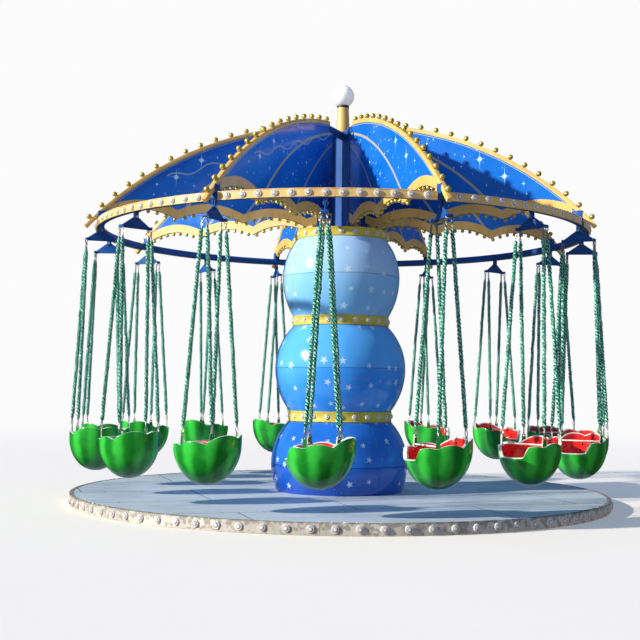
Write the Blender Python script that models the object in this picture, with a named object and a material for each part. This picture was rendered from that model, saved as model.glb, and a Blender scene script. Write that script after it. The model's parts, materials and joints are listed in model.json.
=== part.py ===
"""Chair swing ride for children: a round platform, a column of three stacked drums with lamp belts,
a turning canopy of eight curved fins on a ring, and sixteen melon-shaped seats hung on ropes.

Metres, +Z up. The origin is the middle of the platform's underside. The front is at -Y.
An angle round the ride is measured from the front, positive towards +X.
"""

import math

import bmesh
import bpy
from mathutils import Matrix, Vector

# Clearance between pieces that touch on the real ride
SEAT_GAP = 0.0003

# Platform
PLATFORM_RADIUS = 3.0
PLATFORM_HEIGHT = 0.110
RIM_THICKNESS = 0.015
RIM_FOOT = 0.002
RIM_LIP = 0.002
PLATFORM_SIDES = 64

# Column: each drum is widest at its equator and is stepped in where a belt meets it
COLUMN_SIDES = 24
DRUM_ROWS = 3
BELT_THICKNESS = 0.020
BELT_STEP = 0.010
FOOT_RADIUS = 0.717
LOWER_DRUM_RADIUS = 0.779
MIDDLE_DRUM_RADIUS = 0.747
UPPER_DRUM_RADIUS = 0.673
LOWER_EQUATOR = PLATFORM_HEIGHT + 0.305
MIDDLE_EQUATOR = PLATFORM_HEIGHT + 1.385
UPPER_EQUATOR = PLATFORM_HEIGHT + 2.430
LOWER_BELT_RADIUS = 0.595
MIDDLE_BELT_RADIUS = 0.555
UPPER_BELT_RADIUS = 0.535
LOWER_BELT_Z = (PLATFORM_HEIGHT + 0.788, PLATFORM_HEIGHT + 0.902)
MIDDLE_BELT_Z = (PLATFORM_HEIGHT + 1.868, PLATFORM_HEIGHT + 1.973)
UPPER_BELT_Z = (PLATFORM_HEIGHT + 2.858, PLATFORM_HEIGHT + 2.959)

# Mast and what stands on it
MAST_SIDES = 8
MAST_APOTHEM = 0.0853
MAST_FLANGE_RADIUS = 0.345
MAST_FLANGE_THICKNESS = 0.020
MAST_TOP_Z = 4.205
HEAD_THICKNESS = 0.030
POST_FOOT_RADIUS = 0.085
POST_TOP_RADIUS = 0.066
POST_HEIGHT = 0.322
GLOBE_RADIUS = 0.129
GLOBE_NECK_RADIUS = 0.050
GLOBE_ROWS = 7
GLOBE_SIDES = 16

# Ring under the fins: an octagonal tube, measured across its flats, with a band on its outer face.
# It is made in four quarters, and the first one starts at an angle clear of the fins and the swings.
RING_Z = PLATFORM_HEIGHT + 2.920
RING_RADIUS = 2.740
RING_HALF_WIDTH = 0.038
RING_TUBE_SIDES = 8
RING_SEGMENTS = 48
RING_QUARTERS = 4
RING_START = -60.0
BAND_THICKNESS = 0.012
BAND_HALF_HEIGHT = 0.040
FIN_PAD_SIZE = 0.060
FIN_PAD_ROOT = 0.020

# Canopy fins: flat box blades that stand on edge, one every 45 degrees. Each has a post that stands on the
# mast's flange, clear of the mast. A web between the two heights of FIN_WEB_Z ties it to the mast, and the
# curved top starts at FIN_TOP_RADIUS.
FIN_COUNT = 8
FIN_THICKNESS = 0.045
FIN_POST_RADIUS = 0.262
FIN_POST_WIDTH = 0.048
FIN_WEB_Z = (4.165, 4.240)
FIN_TOP_RADIUS = 0.383
FIN_ARC_CENTRE_Z = 0.403
FIN_ARC_RADIUS = 3.905
FIN_TIP_Z = 2.970
FIN_EDGE_DEPTH = 0.055
FIN_TOP_STEPS = 12
SCALLOP_CUSPS = (2.680, 1.930, 1.180, 0.430)
SCALLOP_CUSP_Z = PLATFORM_HEIGHT + 3.000
SCALLOP_RISE = 0.090
SCALLOP_STEPS = 4

# Swings: a plate on a pin between two ears of the ring, with four ropes down to the seat
SWING_COUNT = 16
HINGE_Z = PLATFORM_HEIGHT + 2.830
PIN_RADIUS = 0.008
PIN_HALF_LENGTH = 0.013
PIN_CLEARANCE = 0.0003
PIN_SIDES = 8
EAR_THICKNESS = 0.010
EAR_GAP = 0.014
EAR_WIDTH = 0.046
EAR_BELOW_PIN = 0.024
EAR_ROOT_Z = RING_Z - 0.020
PLATE_THICKNESS = 0.012
PLATE_EYE_RADIUS = 0.026
PLATE_EYE_STEPS = 4
PLATE_HALF_BASE = 0.160
PLATE_DROP = 0.105
PLATE_END_HALF_HEIGHT = 0.012
CROSSBAR_SIZE = (0.078, 0.026, 0.030)
ROPE_RADIUS = 0.016
ROPE_SIDES = 6
ROPE_TOP_SPREAD = 0.024

# Seats: a half melon whose front looks along -X at the front of the ride
SEAT_BOTTOM_Z = PLATFORM_HEIGHT + 0.258
SEAT_RADIUS = 0.328
SEAT_ROUNDNESS = 2.0
SEAT_UPRIGHT_Z = (0.400, 0.340)
SEAT_WIDTH_RATIO = 0.86
SEAT_FORWARD = 0.030
SEAT_WALL = 0.034
SEAT_LOW_ROWS = (0.035, 0.125)
# Rim heights over the seat's bottom, one every 22.5 degrees from the middle of the front to the back
SEAT_RIM = (0.272, 0.276, 0.385, 0.375, 0.410, 0.385, 0.430, 0.465, 0.440)
SEAT_LONGITUDES = 2 * (len(SEAT_RIM) - 1)
LUG_LONGITUDES = (3.1, 5.6)
LUG_SIZE = (0.030, 0.022)
LUG_TOP_Z = PLATFORM_HEIGHT + 0.745
LUG_ROOT = 0.030


def clear_scene():
    for obj in list(bpy.data.objects):
        bpy.data.objects.remove(obj, do_unlink=True)


def paint(name, colour, roughness, metallic=0.0):
    material = bpy.data.materials.new(name)
    material.use_nodes = True
    shader = material.node_tree.nodes["Principled BSDF"]
    shader.inputs["Base Color"].default_value = (*colour, 1.0)
    shader.inputs["Roughness"].default_value = roughness
    shader.inputs["Metallic"].default_value = metallic
    return material


def link(name, data):
    obj = bpy.data.objects.new(name, data)
    bpy.context.scene.collection.objects.link(obj)
    return obj


def pivot(name, location=(0.0, 0.0, 0.0), angle=0.0, parent=None):
    """An empty that stands on a joint's axis and carries the pieces that move with it."""
    empty = link(name, None)
    empty.location = location
    empty.rotation_euler = (0.0, 0.0, math.radians(angle))
    empty.parent = parent
    return empty


def place(name, mesh, material, parent=None, angle=0.0, smooth=False):
    """Adds a mesh as one named piece, turned about +Z by an angle in degrees."""
    obj = link(name, mesh)
    if not mesh.materials:
        mesh.materials.append(material)
    obj.rotation_euler = (0.0, 0.0, math.radians(angle))
    obj.parent = parent
    if smooth:
        mesh.shade_smooth()
        mesh.set_sharp_from_angle(angle=math.radians(40))
    return obj


def finished(bm, name):
    bmesh.ops.recalc_face_normals(bm, faces=bm.faces)
    mesh = bpy.data.meshes.new(name)
    bm.to_mesh(mesh)
    bm.free()
    return mesh


def turned(name, profile, sides, closed=False):
    """Turns a line of (radius, height) points about +Z. A closed line makes a ring."""
    bm = bmesh.new()
    points = [bm.verts.new((radius, 0.0, height)) for radius, height in profile]
    edges = [bm.edges.new(pair) for pair in zip(points, points[1:])]
    if closed:
        edges.append(bm.edges.new((points[-1], points[0])))
    bmesh.ops.spin(bm, geom=points + edges, cent=(0, 0, 0), axis=(0, 0, 1), angle=math.tau,
                   steps=sides, use_merge=True)
    bmesh.ops.remove_doubles(bm, verts=bm.verts, dist=1e-5)
    return finished(bm, name)


def blade(name, outline, thickness):
    """A flat piece across +X, from an outline of (radius, height) points. Radius runs along -Y."""
    bm = bmesh.new()
    corners = [bm.verts.new((-thickness / 2, -radius, height)) for radius, height in outline]
    face = bm.faces.new(corners)
    grown = bmesh.ops.extrude_face_region(bm, geom=[face])["geom"]
    moved = [item for item in grown if isinstance(item, bmesh.types.BMVert)]
    bmesh.ops.translate(bm, verts=moved, vec=(thickness, 0, 0))
    return finished(bm, name)


def add_box(bm, centre, size, angle=0.0):
    turn = Matrix.Rotation(math.radians(angle), 4, "Z")
    bmesh.ops.create_cube(bm, size=1.0, matrix=turn @ Matrix.Translation(centre) @ Matrix.Diagonal((*size, 1.0)))


def add_rod(bm, start, end, radius, sides, across_x=False):
    """A straight rod whose two end faces are level, or lie across +X."""
    loops = []
    for centre in (start, end):
        corners = []
        for i in range(sides):
            a = math.tau * (i + 0.5) / sides
            u = radius * math.cos(a)
            v = radius * math.sin(a)
            offset = (0.0, u, v) if across_x else (u, v, 0.0)
            corners.append(bm.verts.new(Vector(centre) + Vector(offset)))
        loops.append(corners)
        bm.faces.new(corners)
    for i in range(sides):
        j = (i + 1) % sides
        bm.faces.new((loops[0][i], loops[0][j], loops[1][j], loops[1][i]))


def combined(name, mesh, *steps):
    """Joins meshes to a first one, or cuts them out of it. A step is an operation and a mesh."""
    body = link(name, mesh)
    tools = []
    for operation, tool_mesh in steps:
        tool = link(name + "_tool", tool_mesh)
        tools.append(tool)
        modifier = body.modifiers.new(operation.lower(), "BOOLEAN")
        modifier.operation = operation
        modifier.object = tool
        modifier.solver = "EXACT"
    graph = bpy.context.evaluated_depsgraph_get()
    result = bpy.data.meshes.new_from_object(body.evaluated_get(graph))
    for obj in [body] + tools:
        bpy.data.objects.remove(obj, do_unlink=True)
    return result


# Platform and column


def ring_section(inner, outer, bottom, top):
    return [(inner, bottom), (outer, bottom), (outer, top), (inner, top)]


def bulge(equator_radius, equator_z, end_radius, end_z):
    """Points on a quarter of an ellipse, from one end of a drum to its equator."""
    reach = math.acos(end_radius / equator_radius)
    rise = (end_z - equator_z) / math.sin(reach)
    angles = [reach * (1 - i / DRUM_ROWS) for i in range(DRUM_ROWS + 1)]
    return [(equator_radius * math.cos(a), equator_z + rise * math.sin(a)) for a in angles]


def drum(name, equator, foot, belt_radius, belt_z):
    """A drum from its foot to the neck that the belt above it is wrapped round."""
    lower = bulge(*equator, *foot)
    upper = bulge(*equator, belt_radius - BELT_STEP, belt_z[0])
    neck = belt_radius - BELT_THICKNESS - SEAT_GAP
    profile = [(0.0, foot[1])] + lower + upper[-2::-1]
    profile += [(neck, belt_z[0]), (neck, belt_z[1]), (0.0, belt_z[1])]
    return turned(name, profile, COLUMN_SIDES)


def build_base():
    grey = paint("deck_plate", (0.42, 0.47, 0.56), 0.55, 0.6)
    white = paint("rim_paint", (0.80, 0.78, 0.72), 0.45)
    gold = paint("belt_paint", (0.80, 0.58, 0.12), 0.4)
    blues = [paint("blue_deep", (0.03, 0.14, 0.62), 0.2), paint("blue_mid", (0.07, 0.30, 0.85), 0.2),
             paint("blue_light", (0.22, 0.52, 0.90), 0.2)]

    deck_edge = PLATFORM_RADIUS - RIM_THICKNESS - SEAT_GAP
    deck = [(0.0, 0.0), (deck_edge, 0.0), (deck_edge, PLATFORM_HEIGHT), (0.0, PLATFORM_HEIGHT)]
    place("platform_deck", turned("platform_deck", deck, PLATFORM_SIDES), grey)
    rim = ring_section(PLATFORM_RADIUS - RIM_THICKNESS, PLATFORM_RADIUS, RIM_FOOT, PLATFORM_HEIGHT + RIM_LIP)
    place("platform_rim", turned("platform_rim", rim, PLATFORM_SIDES, closed=True), white)

    stages = (("lower", LOWER_DRUM_RADIUS, LOWER_EQUATOR, LOWER_BELT_RADIUS, LOWER_BELT_Z),
              ("middle", MIDDLE_DRUM_RADIUS, MIDDLE_EQUATOR, MIDDLE_BELT_RADIUS, MIDDLE_BELT_Z),
              ("upper", UPPER_DRUM_RADIUS, UPPER_EQUATOR, UPPER_BELT_RADIUS, UPPER_BELT_Z))
    foot = (FOOT_RADIUS, PLATFORM_HEIGHT + SEAT_GAP)
    for blue, (stage, radius, equator_z, belt_radius, belt_z) in zip(blues, stages):
        name = "column_drum_" + stage
        place(name, drum(name, (radius, equator_z), foot, belt_radius, belt_z), blue, smooth=True)
        name = "column_belt_" + stage
        belt = ring_section(belt_radius - BELT_THICKNESS, belt_radius, belt_z[0] + SEAT_GAP, belt_z[1])
        place(name, turned(name, belt, COLUMN_SIDES, closed=True), gold)
        foot = (belt_radius - BELT_STEP, belt_z[1] + SEAT_GAP)


# Canopy


def fin_outline():
    """The blade from the mast along the curved top to the tip, and back along the scallops to its post."""
    inner = MAST_APOTHEM + SEAT_GAP
    post = FIN_POST_RADIUS + FIN_POST_WIDTH
    flange_top = UPPER_BELT_Z[1] + SEAT_GAP + MAST_FLANGE_THICKNESS + SEAT_GAP
    band_outer = RING_RADIUS + RING_HALF_WIDTH + SEAT_GAP + BAND_THICKNESS + SEAT_GAP
    pad_top = RING_Z + BAND_HALF_HEIGHT + 2 * SEAT_GAP
    inside_radius = FIN_ARC_RADIUS - FIN_EDGE_DEPTH

    start = math.asin(FIN_TOP_RADIUS / FIN_ARC_RADIUS)
    end = math.acos((FIN_TIP_Z - FIN_ARC_CENTRE_Z) / FIN_ARC_RADIUS)
    points = [(inner, FIN_WEB_Z[1]), (FIN_TOP_RADIUS, FIN_WEB_Z[1])]
    for i in range(FIN_TOP_STEPS + 1):
        a = start + (end - start) * i / FIN_TOP_STEPS
        points.append((FIN_ARC_RADIUS * math.sin(a), FIN_ARC_CENTRE_Z + FIN_ARC_RADIUS * math.cos(a)))

    tip_inner = math.sqrt(inside_radius ** 2 - (FIN_TIP_Z - FIN_ARC_CENTRE_Z) ** 2)
    notch_z = FIN_ARC_CENTRE_Z + math.sqrt(inside_radius ** 2 - band_outer ** 2)
    points += [(tip_inner, FIN_TIP_Z), (band_outer, notch_z), (band_outer, pad_top)]
    points.append((SCALLOP_CUSPS[0] + 0.01, pad_top))

    points.append((SCALLOP_CUSPS[0], SCALLOP_CUSP_Z))
    for outer_cusp, inner_cusp in zip(SCALLOP_CUSPS, SCALLOP_CUSPS[1:]):
        for i in range(1, SCALLOP_STEPS + 1):
            t = i / SCALLOP_STEPS
            rise = SCALLOP_RISE * (1 - (2 * t - 1) ** 2)
            points.append((outer_cusp + (inner_cusp - outer_cusp) * t, SCALLOP_CUSP_Z + rise))
    points += [(post, SCALLOP_CUSP_Z), (post, flange_top), (FIN_POST_RADIUS, flange_top)]
    points += [(FIN_POST_RADIUS, FIN_WEB_Z[0]), (inner, FIN_WEB_Z[0])]
    return points


def on_first_quarter(count, offset):
    """Angles of evenly spaced places round the ride, those that lie on the ring's first quarter."""
    angles = [360 * (i + offset) / count - 180 for i in range(count)]
    return [a for a in angles if RING_START < a < RING_START + 360 / RING_QUARTERS]


def ring_tube():
    """A quarter of the ring's tube, short of its joints by half the gap at each end."""
    corner = RING_HALF_WIDTH / math.cos(math.pi / RING_TUBE_SIDES)
    half_gap = SEAT_GAP / (2 * RING_RADIUS)
    bm = bmesh.new()
    section = []
    for i in range(RING_TUBE_SIDES):
        a = math.tau * (i + 0.5) / RING_TUBE_SIDES
        section.append(bm.verts.new((0.0, -RING_RADIUS - corner * math.cos(a), RING_Z + corner * math.sin(a))))
    face = bm.faces.new(section)
    turn = Matrix.Rotation(math.radians(RING_START) + half_gap, 3, "Z")
    bmesh.ops.rotate(bm, verts=bm.verts, cent=(0, 0, 0), matrix=turn)
    bmesh.ops.spin(bm, geom=[face], cent=(0, 0, 0), axis=(0, 0, 1), angle=math.tau / RING_QUARTERS - 2 * half_gap,
                   steps=RING_SEGMENTS // RING_QUARTERS)
    return finished(bm, "canopy_ring")


def ring_mesh():
    """A quarter of the ring with a pad under each fin and a pair of ears with a pin for each swing."""
    pads = bmesh.new()
    pad_top = RING_Z + BAND_HALF_HEIGHT + SEAT_GAP
    pad_bottom = RING_Z + FIN_PAD_ROOT
    for angle in on_first_quarter(FIN_COUNT, 0.5):
        add_box(pads, (0, -RING_RADIUS, (pad_top + pad_bottom) / 2), (FIN_PAD_SIZE, FIN_PAD_SIZE, pad_top - pad_bottom),
                angle)

    ears = bmesh.new()
    pins = bmesh.new()
    ear_bottom = HINGE_Z - EAR_BELOW_PIN
    ear_offset = (EAR_GAP + EAR_THICKNESS) / 2
    for angle in on_first_quarter(SWING_COUNT, 0.0):
        for side in (-1, 1):
            add_box(ears, (side * ear_offset, -RING_RADIUS, (EAR_ROOT_Z + ear_bottom) / 2),
                    (EAR_THICKNESS, EAR_WIDTH, EAR_ROOT_Z - ear_bottom), angle)
        pin = bmesh.new()
        add_rod(pin, (-PIN_HALF_LENGTH, -RING_RADIUS, HINGE_Z), (PIN_HALF_LENGTH, -RING_RADIUS, HINGE_Z),
                PIN_RADIUS, PIN_SIDES, across_x=True)
        bmesh.ops.rotate(pin, verts=pin.verts, cent=(0, 0, 0), matrix=Matrix.Rotation(math.radians(angle), 3, "Z"))
        pin_mesh = finished(pin, "pin")
        pins.from_mesh(pin_mesh)
    return combined("canopy_ring", ring_tube(), ("UNION", finished(pads, "pads")),
                    ("UNION", finished(ears, "ears")), ("UNION", finished(pins, "pins")))


def build_canopy(parent):
    navy = paint("navy_paint", (0.01, 0.03, 0.16), 0.35)
    blue = paint("fin_blue", (0.02, 0.16, 0.75), 0.2)
    gold = paint("gold_paint", (0.85, 0.55, 0.20), 0.35)
    white = paint("globe_white", (0.90, 0.90, 0.88), 0.25)

    foot = UPPER_BELT_Z[1] + SEAT_GAP
    corner = MAST_APOTHEM / math.cos(math.pi / MAST_SIDES)
    flange = [(0.0, foot), (MAST_FLANGE_RADIUS, foot), (MAST_FLANGE_RADIUS, foot + MAST_FLANGE_THICKNESS)]
    shaft = [(corner, foot + MAST_FLANGE_THICKNESS), (corner, MAST_TOP_Z), (0.0, MAST_TOP_Z)]
    place("mast", turned("mast", flange + shaft, MAST_SIDES), navy, parent)

    head_foot = MAST_TOP_Z + SEAT_GAP
    head_top = head_foot + HEAD_THICKNESS
    head = [(0.0, head_foot), (corner, head_foot), (corner, head_top), (0.0, head_top)]
    place("mast_head", turned("mast_head", head, MAST_SIDES), navy, parent)

    post_foot = head_top + SEAT_GAP
    post_top = post_foot + POST_HEIGHT
    post = [(0.0, post_foot), (POST_FOOT_RADIUS, post_foot), (POST_TOP_RADIUS, post_top), (0.0, post_top)]
    place("finial_post", turned("finial_post", post, GLOBE_SIDES), gold, parent, smooth=True)

    cut = math.asin(GLOBE_NECK_RADIUS / GLOBE_RADIUS)
    globe_z = post_top + SEAT_GAP + GLOBE_RADIUS * math.cos(cut)
    angles = [cut + (math.pi - cut) * i / GLOBE_ROWS for i in range(GLOBE_ROWS + 1)]
    globe = [(0.0, post_top + SEAT_GAP)]
    globe += [(GLOBE_RADIUS * math.sin(a), globe_z - GLOBE_RADIUS * math.cos(a)) for a in angles[:-1]]
    globe += [(0.0, globe_z + GLOBE_RADIUS)]
    place("finial_globe", turned("finial_globe", globe, GLOBE_SIDES), white, parent, smooth=True)

    quarter = ring_mesh()
    for i in range(RING_QUARTERS):
        place("canopy_ring_%02d" % (i + 1), quarter, navy, parent, angle=360 * i / RING_QUARTERS)
    band_inner = RING_RADIUS + RING_HALF_WIDTH + SEAT_GAP
    band = ring_section(band_inner, band_inner + BAND_THICKNESS, RING_Z - BAND_HALF_HEIGHT, RING_Z + BAND_HALF_HEIGHT)
    place("ring_band", turned("ring_band", band, RING_SEGMENTS, closed=True), gold, parent)

    fin = blade("canopy_fin", fin_outline(), FIN_THICKNESS)
    for i in range(FIN_COUNT):
        place("canopy_fin_%02d" % (i + 1), fin, blue, parent, angle=360 * (i + 0.5) / FIN_COUNT)


# Swings, in a frame with its origin on the hinge: -Y is outwards and -X is forwards


def profile_radius(longitude, height):
    """Radius of the bowl, which stands upright from a lower height at its sides than at its front and back."""
    side = math.sin(math.tau * longitude / SEAT_LONGITUDES) ** 2
    upright_z = SEAT_UPRIGHT_Z[0] + (SEAT_UPRIGHT_Z[1] - SEAT_UPRIGHT_Z[0]) * side
    share = min(1.0, height / upright_z)
    return SEAT_RADIUS * (1 - (1 - share) ** SEAT_ROUNDNESS) ** (1 / SEAT_ROUNDNESS)


def bowl_point(longitude, radius, height):
    a = math.tau * longitude / SEAT_LONGITUDES
    return Vector((-SEAT_FORWARD - radius * math.cos(a), -SEAT_WIDTH_RATIO * radius * math.sin(a),
                   SEAT_BOTTOM_Z - HINGE_Z + height))


def rim_height(longitude):
    """Height of the rim over the seat's bottom, straight between the longitudes that SEAT_RIM gives."""
    step = min(longitude, SEAT_LONGITUDES - longitude)
    low = min(int(step), len(SEAT_RIM) - 2)
    return SEAT_RIM[low] + (SEAT_RIM[low + 1] - SEAT_RIM[low]) * (step - low)


def lug_places():
    """The middle of the seat's wall under each of the four ropes, on the rim."""
    places = []
    for longitude in LUG_LONGITUDES:
        height = rim_height(longitude)
        radius = profile_radius(longitude, height) - SEAT_WALL / 2
        for mirrored in (longitude, SEAT_LONGITUDES - longitude):
            places.append(bowl_point(mirrored, radius, height))
    return places


def seat_mesh():
    bm = bmesh.new()
    bottom = bm.verts.new(bowl_point(0, 0.0, 0.0))
    columns = []
    for longitude in range(SEAT_LONGITUDES):
        rim = rim_height(longitude)
        heights = (*SEAT_LOW_ROWS, (SEAT_LOW_ROWS[1] + rim) / 2, rim)
        columns.append([bm.verts.new(bowl_point(longitude, profile_radius(longitude, h), h)) for h in heights])
    for i, column in enumerate(columns):
        following = columns[(i + 1) % SEAT_LONGITUDES]
        bm.faces.new((bottom, following[0], column[0]))
        for k in range(len(column) - 1):
            bm.faces.new((column[k], following[k], following[k + 1], column[k + 1]))
    shell = link("seat_shell", finished(bm, "seat_shell"))
    wall = shell.modifiers.new("wall", "SOLIDIFY")
    wall.thickness = SEAT_WALL
    wall.offset = -1.0
    wall.use_even_offset = True
    graph = bpy.context.evaluated_depsgraph_get()
    bowl = bpy.data.meshes.new_from_object(shell.evaluated_get(graph))
    bpy.data.objects.remove(shell, do_unlink=True)

    lugs = bmesh.new()
    top = LUG_TOP_Z - HINGE_Z
    for point in lug_places():
        foot = point.z - LUG_ROOT
        add_box(lugs, (point.x, point.y, (top + foot) / 2), (*LUG_SIZE, top - foot))
    return combined("seat", bowl, ("UNION", finished(lugs, "lugs")))


def hanger_mesh():
    """The plate on the ring's pin, a crossbar at each of its lower corners, and the four ropes."""
    outline = []
    for i in range(PLATE_EYE_STEPS + 1):
        a = math.pi * i / PLATE_EYE_STEPS
        outline.append((PLATE_EYE_RADIUS * math.cos(a), PLATE_EYE_RADIUS * math.sin(a)))
    low = -PLATE_DROP - PLATE_END_HALF_HEIGHT
    high = -PLATE_DROP + PLATE_END_HALF_HEIGHT
    outline += [(-PLATE_HALF_BASE, high), (-PLATE_HALF_BASE, low), (PLATE_HALF_BASE, low), (PLATE_HALF_BASE, high)]
    plate = blade("hanger", outline, PLATE_THICKNESS)

    crossbars = bmesh.new()
    ropes = bmesh.new()
    for side in (-1, 1):
        add_box(crossbars, (0.0, side * PLATE_HALF_BASE, -PLATE_DROP), CROSSBAR_SIZE)
    foot_z = LUG_TOP_Z - HINGE_Z + SEAT_GAP
    for point in lug_places():
        top_x = math.copysign(ROPE_TOP_SPREAD, point.x)
        top_y = math.copysign(PLATE_HALF_BASE, point.y)
        add_rod(ropes, (point.x, point.y, foot_z), (top_x, top_y, -PLATE_DROP), ROPE_RADIUS, ROPE_SIDES)
    hole = bmesh.new()
    hole_radius = (PIN_RADIUS + PIN_CLEARANCE) / math.cos(math.pi / PIN_SIDES)
    add_rod(hole, (-PLATE_THICKNESS, 0, 0), (PLATE_THICKNESS, 0, 0), hole_radius, PIN_SIDES, across_x=True)
    return combined("hanger", plate, ("UNION", finished(crossbars, "crossbars")), ("UNION", finished(ropes, "ropes")),
                    ("DIFFERENCE", finished(hole, "hole")))


def build_swings(parent):
    green = paint("melon_green", (0.04, 0.42, 0.10), 0.2)
    rope_green = paint("rope_green", (0.02, 0.40, 0.24), 0.7)
    seat = seat_mesh()
    hanger = hanger_mesh()
    for i in range(SWING_COUNT):
        angle = 360 * i / SWING_COUNT
        a = math.radians(angle)
        hinge = (RING_RADIUS * math.sin(a), -RING_RADIUS * math.cos(a), HINGE_Z)
        swing = pivot("swing_%02d_pivot" % (i + 1), hinge, angle, parent)
        place("hanger_%02d" % (i + 1), hanger, rope_green, swing)
        place("seat_%02d" % (i + 1), seat, green, swing, smooth=True)


clear_scene()
build_base()
canopy = pivot("canopy_pivot")
build_canopy(canopy)
build_swings(canopy)
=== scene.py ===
import json
import math

import bmesh
import bpy
from mathutils import Matrix, Vector, noise


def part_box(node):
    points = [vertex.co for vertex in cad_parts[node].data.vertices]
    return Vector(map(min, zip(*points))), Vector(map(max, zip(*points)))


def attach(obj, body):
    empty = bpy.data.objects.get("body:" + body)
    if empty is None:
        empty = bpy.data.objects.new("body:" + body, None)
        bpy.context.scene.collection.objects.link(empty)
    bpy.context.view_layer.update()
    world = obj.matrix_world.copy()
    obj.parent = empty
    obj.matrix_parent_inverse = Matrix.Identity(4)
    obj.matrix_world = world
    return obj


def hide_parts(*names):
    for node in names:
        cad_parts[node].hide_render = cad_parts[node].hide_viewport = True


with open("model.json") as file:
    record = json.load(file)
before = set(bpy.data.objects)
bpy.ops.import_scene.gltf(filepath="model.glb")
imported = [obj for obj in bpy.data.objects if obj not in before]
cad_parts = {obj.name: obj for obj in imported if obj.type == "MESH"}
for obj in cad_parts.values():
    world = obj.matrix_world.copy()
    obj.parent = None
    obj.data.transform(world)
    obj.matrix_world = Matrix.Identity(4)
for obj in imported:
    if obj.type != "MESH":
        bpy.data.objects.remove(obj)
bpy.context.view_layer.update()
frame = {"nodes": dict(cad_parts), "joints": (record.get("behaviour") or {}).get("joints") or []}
scene = bpy.context.scene

# Camera: the ride is seen from a little right of its front, from 12 m away and 1.27 m up, through a
# short telephoto lens. These values come from fitting the round platform and the ring of lamps.
CAMERA_DISTANCE = 12.227
CAMERA_HEIGHT = 1.2695
CAMERA_AZIMUTH = math.radians(3.089)
CAMERA_YAW = math.radians(1.121)
CAMERA_PITCH = math.radians(93.672)
CAMERA_ROLL = math.radians(0.693)

camera_data = bpy.data.cameras.new("camera")
camera_data.sensor_width = 36.0
camera_data.lens = 59.71
camera = bpy.data.objects.new("camera", camera_data)
camera.matrix_world = (Matrix.Rotation(CAMERA_AZIMUTH, 4, "Z")
                       @ Matrix.Translation((0.0, -CAMERA_DISTANCE, CAMERA_HEIGHT))
                       @ Matrix.Rotation(CAMERA_YAW, 4, "Z") @ Matrix.Rotation(CAMERA_PITCH, 4, "X")
                       @ Matrix.Rotation(CAMERA_ROLL, 4, "Z"))
scene.collection.objects.link(camera)
scene.camera = camera
scene.view_settings.view_transform = "Standard"


# Studio: one low key light from the left and a little in front, a soft surround that is pale above and
# dim below, and a plain pale floor just under the platform. The floor throws no light back on the ride.
KEY_DIRECTION = Vector((-0.84, -0.41, 0.36))
KEY_STRENGTH = 5.8
KEY_SOFTNESS = math.radians(1.8)
SURROUND_ABOVE = (0.14, 0.27, 0.54)
SURROUND_LEVEL = (0.40, 0.45, 0.62)
SURROUND_BELOW = (0.33, 0.275, 0.20)
SURROUND_IN_GLOSS = 0.15
BACKDROP = 0.97
FLOOR_GLOW = 0.18
FLOOR_FADE = (7.0, 26.0)
FLOOR_DROP = 0.001
FLOOR_SIZE = 120.0


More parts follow.
